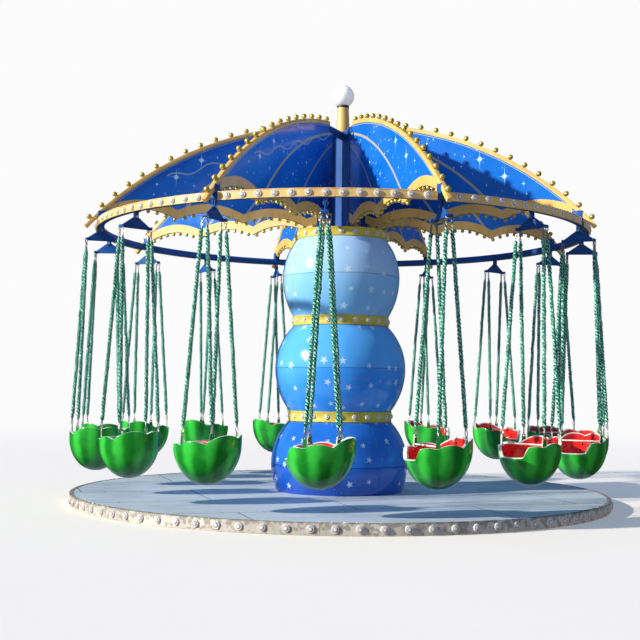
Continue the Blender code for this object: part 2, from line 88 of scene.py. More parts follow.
class Wire:
    """An output of a shader node. Arithmetic on it adds Math nodes, and node() adds any other node."""

    def __init__(self, tree, socket=None):
        self.tree = tree
        self.socket = socket

    def node(self, kind, settings=None, inputs=None, output=0):
        """Adds a node: first its settings, or a ramp's stops, and then its sockets' values or links."""
        made = self.tree.nodes.new("ShaderNode" + kind)
        for name, value in (settings or {}).items():
            if name == "stops":
                for stop, (position, colour) in enumerate(value):
                    if stop > 1:
                        made.color_ramp.elements.new(position)
                    made.color_ramp.elements[stop].position = position
                    made.color_ramp.elements[stop].color = (*colour, 1.0)
            else:
                setattr(made, name, value)
        for key, value in (inputs or {}).items():
            if isinstance(value, Wire):
                self.tree.links.new(value.socket, made.inputs[key])
            else:
                made.inputs[key].default_value = value
        return Wire(self.tree, made.outputs[output])

    def out(self, output):
        """Another output of the same node."""
        return Wire(self.tree, self.socket.node.outputs[output])

    def parts(self, kind="SeparateXYZ"):
        """The three parts of a vector, or of a colour with SeparateColor."""
        first = self.node(kind, {}, {0: self})
        return first, first.out(1), first.out(2)

    def math(self, operation, *others):
        """A Math node on this and, where it takes more, on other wires or numbers."""
        return self.node("Math", {"operation": operation}, dict(enumerate((self, *others))))

    def least(self, other):
        return self.math("MINIMUM", other)

    def most(self, other):
        return self.math("MAXIMUM", other)

    def __add__(self, other):
        return self.math("ADD", other)

    def __sub__(self, other):
        return self.math("SUBTRACT", other)

    def __rsub__(self, other):
        return self.node("Math", {"operation": "SUBTRACT"}, {0: other, 1: self})

    def __mul__(self, other):
        return self.math("MULTIPLY", other)

    def __truediv__(self, other):
        return self.math("DIVIDE", other)

    def __pow__(self, other):
        return self.math("POWER", other)

    def __mod__(self, other):
        return self.math("FLOORED_MODULO", other)

    def __abs__(self):
        return self.math("ABSOLUTE")

    def __lt__(self, other):
        return self.math("LESS_THAN", other)

    def __gt__(self, other):
        return self.math("GREATER_THAN", other)

    __radd__ = __add__

    def step(self, low, high):
        """Rises smoothly from 0 at low to 1 at high."""
        return self.node("MapRange", {"interpolation_type": "SMOOTHSTEP"},
                         {0: self, 1: low, 2: high, 3: 0.0, 4: 1.0})

    def blend(self, first, second):
        """The first colour where this is 0, the second where it is 1."""
        colours = [c if isinstance(c, Wire) else (*c, 1.0) for c in (first, second)]
        return self.node("Mix", {"data_type": "RGBA"}, {0: self, 6: colours[0], 7: colours[1]}, output=2)

    def scaled(self, *factors):
        """A vector multiplied side by side."""
        return self.node("VectorMath", {"operation": "MULTIPLY"}, {0: self, 1: factors})

    def noise(self, scale, detail=3.0):
        return self.node("TexNoise", {}, {"Vector": self, "Scale": scale, "Detail": detail})

    def cells(self, scale, **settings):
        """Distance from the nearest of scattered points. Output 1 is a colour for each point."""
        return self.node("TexVoronoi", settings, {"Vector": self, "Scale": scale})

    def to(self, name):
        """Links this to a socket of the material's Principled shader."""
        self.tree.links.new(self.socket, self.tree.nodes["Principled BSDF"].inputs[name])

    def bump(self, distance):
        """Links this height to the shader's normal, with its depth in metres."""
        inputs = {"Height": self, "Distance": distance, "Strength": 1.0}
        self.node("Bump", {}, inputs, output="Normal").to("Normal")


def new_material(name, colour, roughness, metallic=0.0, **more):
    """A Principled material. Returns it with a wire of the surface's place in metres."""
    material = bpy.data.materials.new(name)
    material.use_nodes = True
    sockets = material.node_tree.nodes["Principled BSDF"].inputs
    sockets["Base Color"].default_value = (*colour, 1.0)
    sockets["Roughness"].default_value = roughness
    sockets["Metallic"].default_value = metallic
    for key, value in more.items():
        sockets[key.replace("_", " ").title().replace("Ior", "IOR")].default_value = value
    return material, Wire(material.node_tree).node("TexCoord", output="Object")


key_data = bpy.data.lights.new("key", "SUN")
key_data.energy = KEY_STRENGTH
key_data.angle = KEY_SOFTNESS
key_data.color = (1.0, 0.95, 0.86)
key = bpy.data.objects.new("key", key_data)
key.rotation_euler = KEY_DIRECTION.to_track_quat("Z", "Y").to_euler()
scene.collection.objects.link(key)

world = bpy.data.worlds.new("surround")
world.use_nodes = True
scene.world = world
air = Wire(world.node_tree)
heading = air.node("TexCoord", output="Object")
upward = heading.parts()[2]
low_tone = upward.step(-0.25, 0.05).blend(SURROUND_BELOW, SURROUND_LEVEL)
in_gloss = air.node("LightPath", output="Is Glossy Ray")
surround = air.node("Background", {}, {"Color": upward.step(0.10, 0.60).blend(low_tone, SURROUND_ABOVE),
                                       "Strength": 1 - in_gloss * (1 - SURROUND_IN_GLOSS)})
backdrop = air.node("Background", {}, {"Color": (1.0, 1.0, 1.0, 1.0), "Strength": BACKDROP})
to_camera = air.node("LightPath", output="Is Camera Ray")
shown = air.node("MixShader", {}, {0: to_camera, 1: surround, 2: backdrop})
world.node_tree.links.new(shown.socket, world.node_tree.nodes["World Output"].inputs["Surface"])

floor_paint, place = new_material("floor_paint", (0.80, 0.80, 0.80), 0.9, emission_strength=1.0,
                                  specular_ior_level=0.0)
pale = place.noise(0.7).blend((0.86, 0.79, 0.69), (0.88, 0.81, 0.71))
from_middle = place.node("VectorMath", {"operation": "LENGTH"}, {0: place}, output="Value").step(*FLOOR_FADE)
from_middle.blend(pale, (0.0, 0.0, 0.0)).to("Base Color")
glow = tuple(FLOOR_GLOW * c for c in (0.87, 0.80, 0.70))
from_middle.blend(glow, (BACKDROP, BACKDROP, BACKDROP)).to("Emission Color")
bm = bmesh.new()
bmesh.ops.create_grid(bm, x_segments=1, y_segments=1, size=FLOOR_SIZE / 2,
                      matrix=Matrix.Translation((0, 0, -FLOOR_DROP)))
floor_mesh = bpy.data.meshes.new("floor")
bm.to_mesh(floor_mesh)
bm.free()
floor_mesh.materials.append(floor_paint)
floor = bpy.data.objects.new("floor", floor_mesh)
floor.visible_diffuse = False
floor.visible_glossy = False
scene.collection.objects.link(floor)


# Deck: steel chequer plates in parallel rows, bolted down on the platform's frame with narrow open
# seams. Grey paint with painted blue skylight in its colour, and feet have scuffed the paint.
DECK_SIDES = 192
PLATE_HEADING = math.radians(22.5)
PLATE_WIDTH = 1.090
PLATE_LENGTH = 2.400
FIRST_SEAM = -0.777
FIRST_CROSS_SEAM = -1.650
SEAM_WIDTH = 0.012
SEAM_DEPTH = 0.006
TREAD_PITCH = 0.050
SCREW_RADIUS = 0.009
SCREW_PITCH = 0.400
SCREW_INSET = 0.032
SCREW_MARGIN = 0.10


def as_mesh(bm, name):
    """A finished mesh with its normals outwards."""
    bmesh.ops.recalc_face_normals(bm, faces=bm.faces)
    mesh = bpy.data.meshes.new(name)
    bm.to_mesh(mesh)
    bm.free()
    return mesh


def piece(name, bm, body, slot, *materials, smooth=35.0, stands_for=()):
    """Finishes a bmesh as a named piece that rides on a body."""
    mesh = as_mesh(bm, name)
    for material in materials:
        mesh.materials.append(material)
    mesh.shade_smooth()
    mesh.set_sharp_from_angle(angle=math.radians(smooth))
    obj = bpy.data.objects.new(name, mesh)
    scene.collection.objects.link(obj)
    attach(obj, body)
    if stands_for:
        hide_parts(*stands_for)
    return obj


def painted(name, colour, dirt_colour, roughness, dirt=0.5, streaks=1.0, **more):
    """Brushed or sprayed paint: uneven colour, dirt in patches and rain streaks, and a fine texture."""
    material, place = new_material(name, colour, roughness, **more)
    patches = place.noise(3.5, 6.0).step(0.46, 0.70)
    runs = place.scaled(22.0, 22.0, 1.6).noise(1.0, 4.0).step(0.50, 0.75) * streaks
    pale = tuple(min(1.0, 1.12 * c) for c in colour)
    dark = tuple(0.86 * c for c in colour)
    base = place.noise(1.7).step(0.3, 0.7).blend(dark, pale)
    grime = (patches + runs).least(1.0) * dirt
    grime.blend(base, dirt_colour).to("Base Color")
    (roughness + grime * 0.35 + place.noise(60.0) * 0.06).to("Roughness")
    place.noise(180.0, 2.0).bump(0.0004)
    return material


def add_copy(bm, mesh, place):
    """Adds a copy of a mesh at a place."""
    part = mesh.copy()
    part.transform(place)
    bm.from_mesh(part)
    bpy.data.meshes.remove(part)


def spread(mesh, places):
    """One bmesh with a copy of a mesh at each place."""
    bm = bmesh.new()
    for place in places:
        add_copy(bm, mesh, place)
    return bm


def shift_new(bm, made, step):
    """Moves the corners that an extrusion has made."""
    bmesh.ops.translate(bm, verts=[v for v in made if isinstance(v, bmesh.types.BMVert)], vec=step)


def bolt_head(radius, height):
    """A six-sided bolt head that stands up along +Z."""
    bm = bmesh.new()
    bmesh.ops.create_cone(bm, cap_ends=True, segments=6, radius1=radius, radius2=radius * 0.82, depth=height,
                          matrix=Matrix.Translation((0, 0, height / 2)))
    return as_mesh(bm, "bolt_head")


def chequer_paint():
    material, place = new_material("chequer_paint", (0.45, 0.52, 0.64), 0.5)
    turned_place = place.node("VectorRotate", {"rotation_type": "Z_AXIS"},
                              {"Vector": place, "Angle": -PLATE_HEADING})
    tread = turned_place.scaled(1 / TREAD_PITCH, 1 / TREAD_PITCH, 1.0)
    cell = tread.node("VectorMath", {"operation": "FLOOR"}, {0: tread})
    column, row, _ = cell.parts()
    local_x, local_y, _ = tread.node("VectorMath", {"operation": "SUBTRACT"}, {0: tread, 1: cell}).parts()
    x = abs(local_x - 0.5)
    y = abs(local_y - 0.5)
    odd = (column + row) % 2.0
    lozenge = 1 - (x * 2.3 + y * 7.5 + odd * 9).least(x * 7.5 + y * 2.3 + (1 - odd) * 9)
    raised = lozenge.step(0.0, 0.25)
    scuffs = turned_place.scaled(1.0, 3.0, 1.0).noise(2.2, 6.0).step(0.48, 0.68)
    grime = place.noise(0.9, 5.0).step(0.42, 0.66)
    worn = raised * place.noise(6.0).step(0.45, 0.62)
    # Painted light: every tone here carries a blue tint of painted skylight; the grime, scuffs and worn tread
    # tops are real marks.
    colour = grime.blend((0.58, 0.65, 0.72), (0.45, 0.52, 0.60))
    colour = (scuffs * 0.6).blend(colour, (0.72, 0.78, 0.84))
    colour = (worn * 0.6).blend(colour, (0.78, 0.82, 0.87))
    colour.to("Base Color")
    (0.62 - scuffs * 0.16 - worn * 0.18).to("Roughness")
    (raised + place.noise(300.0) * 0.08).bump(0.0016)
    return material


deck_low, deck_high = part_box("platform_deck")
deck_radius = deck_high.x
along = Vector((math.cos(PLATE_HEADING), math.sin(PLATE_HEADING), 0.0))
across = Vector((-math.sin(PLATE_HEADING), math.cos(PLATE_HEADING), 0.0))
bm = bmesh.new()
bmesh.ops.create_circle(bm, cap_ends=True, segments=DECK_SIDES, radius=deck_radius,
                        matrix=Matrix.Translation((0, 0, deck_high.z - SEAM_DEPTH)))
rows = math.ceil(deck_radius / PLATE_WIDTH)
for row in range(-rows, rows + 1):
    bmesh.ops.bisect_plane(bm, geom=bm.verts[:] + bm.edges[:] + bm.faces[:], plane_no=across,
                           plane_co=across * (FIRST_SEAM + row * PLATE_WIDTH))
for row in range(-rows, rows + 1):
    for cut in range(-2, 3):
        plates = [f for f in bm.faces
                  if 0 < f.calc_center_median().dot(across) - FIRST_SEAM - row * PLATE_WIDTH < PLATE_WIDTH]
        edges = {e for f in plates for e in f.edges}
        corners = {v for f in plates for v in f.verts}
        seam = FIRST_CROSS_SEAM + (cut + row % 2 / 2) * PLATE_LENGTH
        bmesh.ops.bisect_plane(bm, geom=plates + list(edges) + list(corners), plane_no=along,
                               plane_co=along * seam)
edging = [e for e in bm.edges if e.is_boundary]
upside_down = [f for f in bm.faces if f.normal.z < 0]
bmesh.ops.reverse_faces(bm, faces=upside_down)
skirt = bmesh.ops.extrude_edge_only(bm, edges=edging)["geom"]
skirt_foot = [e for e in skirt if isinstance(e, bmesh.types.BMEdge)]
shift_new(bm, skirt, (0, 0, deck_low.z - deck_high.z + SEAM_DEPTH))
bmesh.ops.contextual_create(bm, geom=skirt_foot)
plates = [f for f in bm.faces if abs(f.normal.z) > 0.9 and f.calc_center_median().z > deck_high.z / 2]
seams = bmesh.ops.inset_individual(bm, faces=plates, thickness=SEAM_WIDTH / 2, depth=SEAM_DEPTH,
                                   use_even_offset=True)
for face in seams["faces"]:
    face.material_index = 1
seam_dirt = painted("seam_dirt", (0.050, 0.052, 0.058), (0.11, 0.10, 0.09), 0.8)
piece("deck_plates", bm, "base", "deck_plate", chequer_paint(), seam_dirt, smooth=25.0,
      stands_for=("platform_deck",))

zinc = painted("zinc_plate", (0.62, 0.63, 0.65), (0.30, 0.29, 0.27), 0.32, dirt=0.4, metallic=0.9)
screw_places = []
for row in range(-rows, rows + 1):
    for side in (-1, 1):
        for step in range(-rows * 3, rows * 3 + 1):
            spot = across * (FIRST_SEAM + row * PLATE_WIDTH + side * SCREW_INSET)
            spot += along * (step + 0.5) * SCREW_PITCH
            if spot.length < deck_radius - SCREW_MARGIN:
                screw_places.append(Matrix.Translation((spot.x, spot.y, deck_high.z - 0.0005)))
screw_steel = painted("screw_steel", (0.16, 0.16, 0.17), (0.20, 0.13, 0.09), 0.5, metallic=0.5)
piece("deck_screws", spread(bolt_head(SCREW_RADIUS, 0.002), screw_places), "base", "zinc_steel", screw_steel)


# Rim: sixteen curved lengths of white-painted angle that close the platform's edge, each one bolted
# down through its top flange. Feet and rain have greyed the paint.
RIM_LENGTHS = 16
RIM_JOINT = 0.003
RIM_FLANGE = 0.042
RIM_SHEET = 0.0025
RIM_WALL = 0.014
RIM_BOLTS = 176
BOLT_RADIUS = 0.007
BOLT_INSET = 0.024


def swept(section, start, sweep, steps):
    """A closed section of (radius, height) points swept about +Z from an angle, in degrees."""
    bm = bmesh.new()
    face = bm.faces.new([bm.verts.new((0.0, -radius, height)) for radius, height in section])
    bmesh.ops.rotate(bm, verts=bm.verts, cent=(0, 0, 0), matrix=Matrix.Rotation(math.radians(start), 3, "Z"))
    bmesh.ops.spin(bm, geom=[face], cent=(0, 0, 0), axis=(0, 0, 1), angle=math.radians(sweep), steps=steps)
    return bm


def out_at(degrees, radius, height):
    """A place out at an angle from the front, which looks outwards along its own -Y."""
    return Matrix.Rotation(math.radians(degrees), 4, "Z") @ Matrix.Translation((0.0, -radius, height))


def round_the_ride(count, offset, radius, height):
    """Places evenly round the ride."""
    return [out_at(360 * i / count + offset, radius, height) for i in range(count)]


def weathered_white():
    """Off-white paint with grey mottles, rust bleeding down from the flange and a dark top edge."""
    material, place = new_material("rim_paint", (0.70, 0.66, 0.57), 0.5)
    height = place.parts()[2]
    base = place.noise(2.5).step(0.3, 0.7).blend((0.52, 0.49, 0.42), (0.68, 0.64, 0.55))
    mottles = (place.noise(21.0, 6.0) + height * 1.2).step(0.53, 0.66)
    runs = place.scaled(26.0, 26.0, 2.0).noise(1.0, 4.0).step(0.54, 0.74)
    colour = (mottles * 0.70).blend(base, (0.23, 0.20, 0.16))
    colour = (runs * 0.45).blend(colour, (0.40, 0.31, 0.21))
    edge = height.step(rim_high.z - 0.012, rim_high.z - 0.002) * place.noise(9.0, 4.0).step(0.35, 0.6)
    (edge * 0.8).blend(colour, (0.16, 0.14, 0.12)).to("Base Color")
    (0.45 + mottles * 0.3).to("Roughness")
    (place.noise(150.0, 2.0) + mottles * 0.4).bump(0.0006)
    return material


rim_low, rim_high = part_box("platform_rim")
rim_radius = rim_high.x
flange_top = rim_high.z + 0.0005
flange_foot = flange_top - RIM_SHEET
rim_inner = rim_radius - RIM_FLANGE
rim_back = rim_radius - RIM_WALL
rim_section = [(rim_inner, flange_foot), (rim_inner, flange_top), (rim_radius, flange_top),
               (rim_radius, rim_low.z), (rim_back, rim_low.z), (rim_back, flange_foot)]
rim_gap = math.degrees(RIM_JOINT / rim_radius)
rim_length = as_mesh(swept(rim_section, rim_gap / 2, 360 / RIM_LENGTHS - rim_gap, 12), "rim_length")
rim_paint = weathered_white()
bm = spread(rim_length, [Matrix.Rotation(math.tau * i / RIM_LENGTHS, 4, "Z") for i in range(RIM_LENGTHS)])
piece("rim_lengths", bm, "base", "rim_white", rim_paint, stands_for=("platform_rim",))
bolt_places = round_the_ride(RIM_BOLTS, 0.0, rim_radius - BOLT_INSET, flange_top)
piece("rim_bolts", spread(bolt_head(BOLT_RADIUS, 0.005), bolt_places), "base", "zinc_steel", zinc)


# Lamps: round caps of clear moulded plastic in white bezels, screwed to the rim, to the belts of the
# column and to the band of the canopy. A small bright lamp shows through each cap.
LAMP_SIDES = 12
RIM_LAMPS = 88
RIM_LAMP_OFFSET = 2.55
RIM_LAMP_RADIUS = 0.035


def turned(profile, steps, closed=False):
    """A line of (radius, height) points turned about +Z. A closed line makes a ring."""
    bm = bmesh.new()
    points = [bm.verts.new((radius, 0.0, height)) for radius, height in profile]
    edges = [bm.edges.new(pair) for pair in zip(points, points[1:])]
    if closed:
        edges.append(bm.edges.new((points[-1], points[0])))
    bmesh.ops.spin(bm, geom=points + edges, cent=(0, 0, 0), axis=(0, 0, 1), angle=math.tau, steps=steps,
                   use_merge=True)
    bmesh.ops.remove_doubles(bm, verts=bm.verts, dist=1e-5)
    return bm


def lamp(radius):
    """A lamp cap that looks along -Y: its bezel is material 0, its cap 1 and its bright middle 2."""
    profile = [(0.0, -0.02), (1.0, -0.02), (1.0, 0.36), (0.92, 0.44), (0.82, 0.40), (0.66, 0.54),
               (0.34, 0.62), (0.0, 0.64)]
    bm = turned([(reach * radius, depth * radius) for reach, depth in profile], LAMP_SIDES)
    for face in bm.faces:
        middle = face.calc_center_median()
        reach = middle.xy.length / radius
        face.material_index = 0 if reach > 0.76 or middle.z < 0 else 1 if reach > 0.28 else 2
    bmesh.ops.rotate(bm, verts=bm.verts, cent=(0, 0, 0), matrix=Matrix.Rotation(math.pi / 2, 3, "X"))
    return as_mesh(bm, "lamp")


def clear_cap():
    material, place = new_material("clear_cap", (0.62, 0.62, 0.64), 0.08, coat_weight=0.6)
    # Painted reflection: the light and dark cells stand in for what the clear facets reflect; the bump is the
    # facets' shape.
    facets_and_painted_reflections = place.cells(130.0)
    facets_and_painted_reflections.step(0.2, 0.8).blend((0.68, 0.65, 0.62), (0.34, 0.32, 0.31)).to("Base Color")
    facets_and_painted_reflections.bump(0.002)
    return material


bezel_white = painted("bezel_white", (0.86, 0.85, 0.82), (0.55, 0.53, 0.50), 0.3, dirt=0.4)
lamp_clear = clear_cap()
lamp_bright = painted("lamp_bright", (0.93, 0.88, 0.86), (0.80, 0.66, 0.62), 0.15, dirt=0.5)
lamp_materials = (bezel_white, lamp_clear, lamp_bright)
lamp_height = (rim_low.z + rim_high.z) / 2
bm = spread(lamp(RIM_LAMP_RADIUS), round_the_ride(RIM_LAMPS, RIM_LAMP_OFFSET, rim_radius, lamp_height))
piece("rim_lamps", bm, "base", "lamp_clear", *lamp_materials)


# Column drums: three melon-round drums of glossy gelcoat, each in four panels a half, with a seam
# round the middle. White star stickers of several sizes are scattered over the blue.
DRUM_STEPS = 96
DRUM_ROWS = 14
DRUM_PANELS = 4
DRUM_SEAM_ANGLE = math.radians(38.0)
DRUM_SEAM = 0.003
DRUM_STEP = 0.010
DRUM_FOOT_RADIUS = 0.717
NECK_INSET = 0.0205
STAR_CELL = 0.235
STAR_STRENGTH = 0.50
DRUMS = {"lower": (0.415, (0.002, 0.050, 0.35), (0.026, 0.200, 0.70)),
         "middle": (1.495, (0.030, 0.260, 0.82), (0.120, 0.480, 0.92)),
         "upper": (2.540, (0.190, 0.520, 0.90), (0.440, 0.680, 0.94))}


def star_gelcoat(name, deep, pale, equator_radius, equator_z, rise):
    """Blue gelcoat with five-pointed stars, one in most cells of a grid that wraps the drum."""
    material, place = new_material(name, deep, 0.20, coat_weight=0.35, coat_roughness=0.14)
    x, y, z = place.parts()
    radius = (x * x + y * y) ** 0.5
    columns = 2 * round(math.pi * equator_radius / STAR_CELL)
    column = x.math("ARCTAN2", 0 - y) * (columns / math.tau)
    lean = ((z - equator_z) / rise).most(-1.0).least(1.0)
    row = lean.math("ARCSINE") * (rise / STAR_CELL) + 0.35
    cell = row.node("CombineXYZ", {}, {0: column.math("FLOOR"), 1: row.math("FLOOR"), 2: equator_z})
    dice = cell.node("TexWhiteNoise", {"noise_dimensions": "3D"}, {"Vector": cell}, output="Color")
    first, second, third = dice.parts("SeparateColor")
    star_x = (column % 1.0 - 0.5 - (first - 0.5) * 0.5) * radius * (math.tau / columns)
    star_y = (row % 1.0 - 0.5 - (second - 0.5) * 0.5) * STAR_CELL
    size = third ** 1.5 * 0.020 + 0.036
    reach = (star_x * star_x + star_y * star_y) ** 0.5
    turn = star_y.math("ARCTAN2", star_x) + first * 3.0
    slice_angle = abs(turn % (math.tau / 5) - math.pi / 5)
    tip_x = reach * slice_angle.math("COSINE")
    tip_y = reach * slice_angle.math("SINE")
    notch_x = 0.42 * math.cos(math.pi / 5)
    notch_y = 0.42 * math.sin(math.pi / 5)
    star = 1 - ((tip_x * notch_y + tip_y * (1 - notch_x)) / (size * notch_y)).step(0.82, 1.10)
    star = star * (second > 0.22)
    dots = place.cells(11.0) < 0.055
    print_marks = (star * STAR_STRENGTH).most(dots * 0.35)
    # Painted reflection and shade: the coat grows paler towards the top and a step paler above the equator,
    # darker below it; the noise in it is random tone.
    tone_and_painted_sheen = (place.noise(1.3, 4.0) + (z - equator_z) * 0.4 + (z > equator_z) * 0.16).step(0.25, 1.0)
    joint = 1 - abs(z - equator_z).step(0.002, 0.005)
    coat = (joint * 0.6).blend(tone_and_painted_sheen.blend(deep, pale), tuple(0.4 * c for c in deep))
    print_marks.blend(coat, (0.88, 0.94, 1.0)).to("Base Color")
    (place.noise(5.0, 5.0).step(0.5, 0.8) * 0.18 + 0.12).to("Roughness")
    (place.noise(7.0, 2.0) + place.noise(90.0, 1.0) * 0.01).bump(0.003)
    return material


def drum_bulge(equator_radius, equator_z, end_radius, end_z):
    """Points on a quarter of an ellipse, from one end of a drum up or down to its equator."""
    reach = math.acos(end_radius / equator_radius)
    rise = (end_z - equator_z) / math.sin(reach)
    angles = [reach * (1 - i / DRUM_ROWS) for i in range(DRUM_ROWS)]
    return [(equator_radius * math.cos(a), equator_z + rise * math.sin(a)) for a in angles], abs(rise)


def soften(bm, edges, width):
    """Rounds edges over with a narrow bevel."""
    bmesh.ops.bevel(bm, geom=edges, affect="EDGES", offset=width, segments=2, profile=0.5, material=-1)


def drum_shell(lower, upper, equator_radius, equator_z, neck):
    """The turned drum, with a groove round its equator and grooves down between its panels."""
    groove = [(equator_radius, equator_z - DRUM_SEAM / 2), (equator_radius - DRUM_SEAM, equator_z),
              (equator_radius, equator_z + DRUM_SEAM / 2)]
    profile = [(0.0, lower[0][1])] + lower + groove + upper[::-1]
    profile += [(neck[0], upper[0][1]), neck, (0.0, neck[1])]
    bm = turned(profile, DRUM_STEPS)

    def on_seam(point):
        turn = (math.atan2(point.x, -point.y) - DRUM_SEAM_ANGLE) % (math.tau / DRUM_PANELS)
        return min(turn, math.tau / DRUM_PANELS - turn) < 0.001 and point.xy.length > neck[0] + 0.01

    bmesh.ops.rotate(bm, verts=bm.verts, cent=(0, 0, 0), matrix=Matrix.Rotation(DRUM_SEAM_ANGLE, 3, "Z"))
    seam_edges = [e for e in bm.edges if all(on_seam(v.co) for v in e.verts)]
    soften(bm, seam_edges, DRUM_SEAM / 2)
    for corner in bm.verts:
        if on_seam(corner.co) and lower[0][1] + 0.002 < corner.co.z < upper[0][1] - 0.002:
            corner.co.xy *= 1 - DRUM_SEAM / corner.co.xy.length
    return bm


foot_radius = DRUM_FOOT_RADIUS
for stage, (equator_z, deep, pale) in DRUMS.items():
    drum_low, drum_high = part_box("column_drum_" + stage)
    belt_low, belt_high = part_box("column_belt_" + stage)
    equator_radius = drum_high.x
    lower, lower_rise = drum_bulge(equator_radius, equator_z, foot_radius, drum_low.z)
    upper, upper_rise = drum_bulge(equator_radius, equator_z, belt_high.x - DRUM_STEP, belt_low.z)
    neck = (belt_high.x - NECK_INSET, belt_high.z)
    rise = (lower_rise + upper_rise) / 2
    coat = star_gelcoat("gelcoat_" + stage, deep, pale, equator_radius, equator_z, rise)
    slot = {"lower": "drum_deep_blue", "middle": "drum_mid_blue", "upper": "drum_light_blue"}[stage]
    bm = drum_shell(lower, upper, equator_radius, equator_z, neck)
    piece("drum_" + stage, bm, "base", slot, coat, smooth=50.0, stands_for=("column_drum_" + stage,))
    foot_radius = belt_high.x - DRUM_STEP


# Column belts: flat bands of yellow-gold painted sheet with rolled edges, one round each neck of the
# column, with a row of lamps along the middle.
BELT_LIP = 0.007
BELT_RECESS = 0.003
BELT_DEPTH = 0.020
BELT_ROLL = 0.002
BELT_LAMP_RADIUS = 0.0275
BELT_LAMPS = {"lower": (24, 3.9), "middle": (22, 4.0), "upper": (22, 2.33)}

belt_paint = painted("belt_paint", (0.62, 0.50, 0.060), (0.34, 0.27, 0.05), 0.35, dirt=0.4)
for stage, (count, offset) in BELT_LAMPS.items():
    belt_low, belt_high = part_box("column_belt_" + stage)
    outer = belt_high.x
    face = outer - BELT_RECESS
    lip_low = belt_low.z + BELT_LIP
    lip_high = belt_high.z - BELT_LIP
    section = [(outer - BELT_DEPTH, belt_low.z), (outer - BELT_ROLL, belt_low.z),
               (outer, belt_low.z + BELT_ROLL), (outer, lip_low), (face, lip_low + BELT_RECESS),
               (face, lip_high - BELT_RECESS), (outer, lip_high), (outer, belt_high.z - BELT_ROLL),
               (outer - BELT_ROLL, belt_high.z), (outer - BELT_DEPTH, belt_high.z)]
    piece("belt_" + stage, turned(section, DRUM_STEPS, closed=True), "base", "belt_gold", belt_paint,
          smooth=50.0, stands_for=("column_belt_" + stage,))
    places = round_the_ride(count, offset, face, (belt_low.z + belt_high.z) / 2)
    bm = spread(lamp(BELT_LAMP_RADIUS), places)
    piece("belt_lamps_" + stage, bm, "base", "lamp_clear", *lamp_materials)


# Mast: an eight-sided steel shaft welded to a foot flange, which is bolted to the slewing ring in the
# column's top. It is painted navy, like all the steel of the canopy.
FLANGE_BOLTS = 16
FLANGE_BOLT_OFFSET = 11.25
FLANGE_BOLT_INSET = 0.035
FLANGE_THICKNESS = 0.020

navy_paint = painted("navy_paint", (0.006, 0.085, 0.340), (0.03, 0.07, 0.16), 0.45, dirt=0.3,
                     specular_ior_level=0.25)
mast_low, mast_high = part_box("mast")
mast = frame["nodes"]["mast"]
mast.data.materials.clear()
mast.data.materials.append(navy_paint)
flange_radius = mast_high.x
bolt_places = round_the_ride(FLANGE_BOLTS, FLANGE_BOLT_OFFSET, flange_radius - FLANGE_BOLT_INSET,
                             mast_low.z + FLANGE_THICKNESS)
piece("mast_flange_bolts", spread(bolt_head(0.012, 0.010), bolt_places), "canopy", "zinc_steel", zinc)


# Mast head: an eight-sided navy cap plate welded on the mast's top, between the inner ends of the fins. On
# it stands the tapered cream post of spun sheet, with its black collar and white globe.
HEAD_BEVEL = 0.004
POST_STEPS = 48
POST_TAPER = 0.066 / 0.085
POST_ROLL = 0.003
COLLAR_HEIGHT = 0.022
COLLAR_PROUD = 0.004
NECK_RADIUS = 0.050
GLOBE_ROWS = 24


def add_rod(bm, sides, radius, length, place):
    """A bar of even section along its own Z, about a place."""
    bmesh.ops.create_cone(bm, cap_ends=True, segments=sides, radius1=radius, radius2=radius, depth=length,
                          matrix=place)


head_low, head_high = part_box("mast_head")
bm = bmesh.new()
head_middle = Matrix.Translation((0, 0, (head_low.z + head_high.z) / 2))
add_rod(bm, 8, head_high.x, head_high.z - head_low.z, head_middle)
soften(bm, bm.edges[:], HEAD_BEVEL)
piece("head_plate", bm, "canopy", "navy_steel", navy_paint, stands_for=("mast_head",))

post_low, post_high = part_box("finial_post")
globe_low, globe_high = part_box("finial_globe")
post_foot = post_high.x
post_top = post_foot * POST_TAPER
profile = [(0.0, post_low.z), (post_foot, post_low.z), (post_foot, post_low.z + 2 * POST_ROLL),
           (post_foot - POST_ROLL, post_low.z + 3 * POST_ROLL), (post_top, post_high.z - POST_ROLL),
           (post_top - POST_ROLL, post_high.z), (0.0, post_high.z)]
post_paint = painted("post_paint", (0.93, 0.60, 0.19), (0.50, 0.30, 0.10), 0.28, dirt=0.3, coat_weight=0.4)
piece("finial_cone", turned(profile, POST_STEPS), "canopy", "post_cream", post_paint, smooth=40.0,
      stands_for=("finial_post",))
collar_foot = post_high.z - COLLAR_HEIGHT
collar_radius = post_top + COLLAR_PROUD
collar_top = post_high.z + COLLAR_PROUD
profile = [(post_top - 0.002, collar_foot), (collar_radius, collar_foot),
           (collar_radius + 0.001, collar_foot + 0.008), (collar_radius, collar_top),
           (post_top - 0.010, collar_top)]
collar_black = painted("collar_black", (0.012, 0.012, 0.014), (0.08, 0.08, 0.08), 0.4, dirt=0.3)
piece("finial_collar", turned(profile, POST_STEPS, closed=True), "canopy", "navy_steel", collar_black)

globe_radius = globe_high.x
globe_centre = globe_high.z - globe_radius
neck_angle = math.asin(NECK_RADIUS / globe_radius)
angles = [neck_angle + (math.pi - neck_angle) * i / GLOBE_ROWS for i in range(GLOBE_ROWS)]
profile = [(0.0, globe_low.z), (NECK_RADIUS, globe_low.z)]
profile += [(globe_radius * math.sin(a), globe_centre - globe_radius * math.cos(a)) for a in angles]
profile.append((0.0, globe_centre + globe_radius))
# Painted light: the weak emission lifts the globe's shaded side.
globe_opal = painted("globe_opal", (0.90, 0.89, 0.92), (0.78, 0.77, 0.82), 0.12, dirt=0.4, streaks=0.5,
                     coat_weight=0.5, emission_color=(0.90, 0.86, 1.0, 1.0), emission_strength=0.28)
piece("globe", turned(profile, POST_STEPS), "canopy", "globe_white", globe_opal, smooth=60.0,
      stands_for=("finial_globe",))


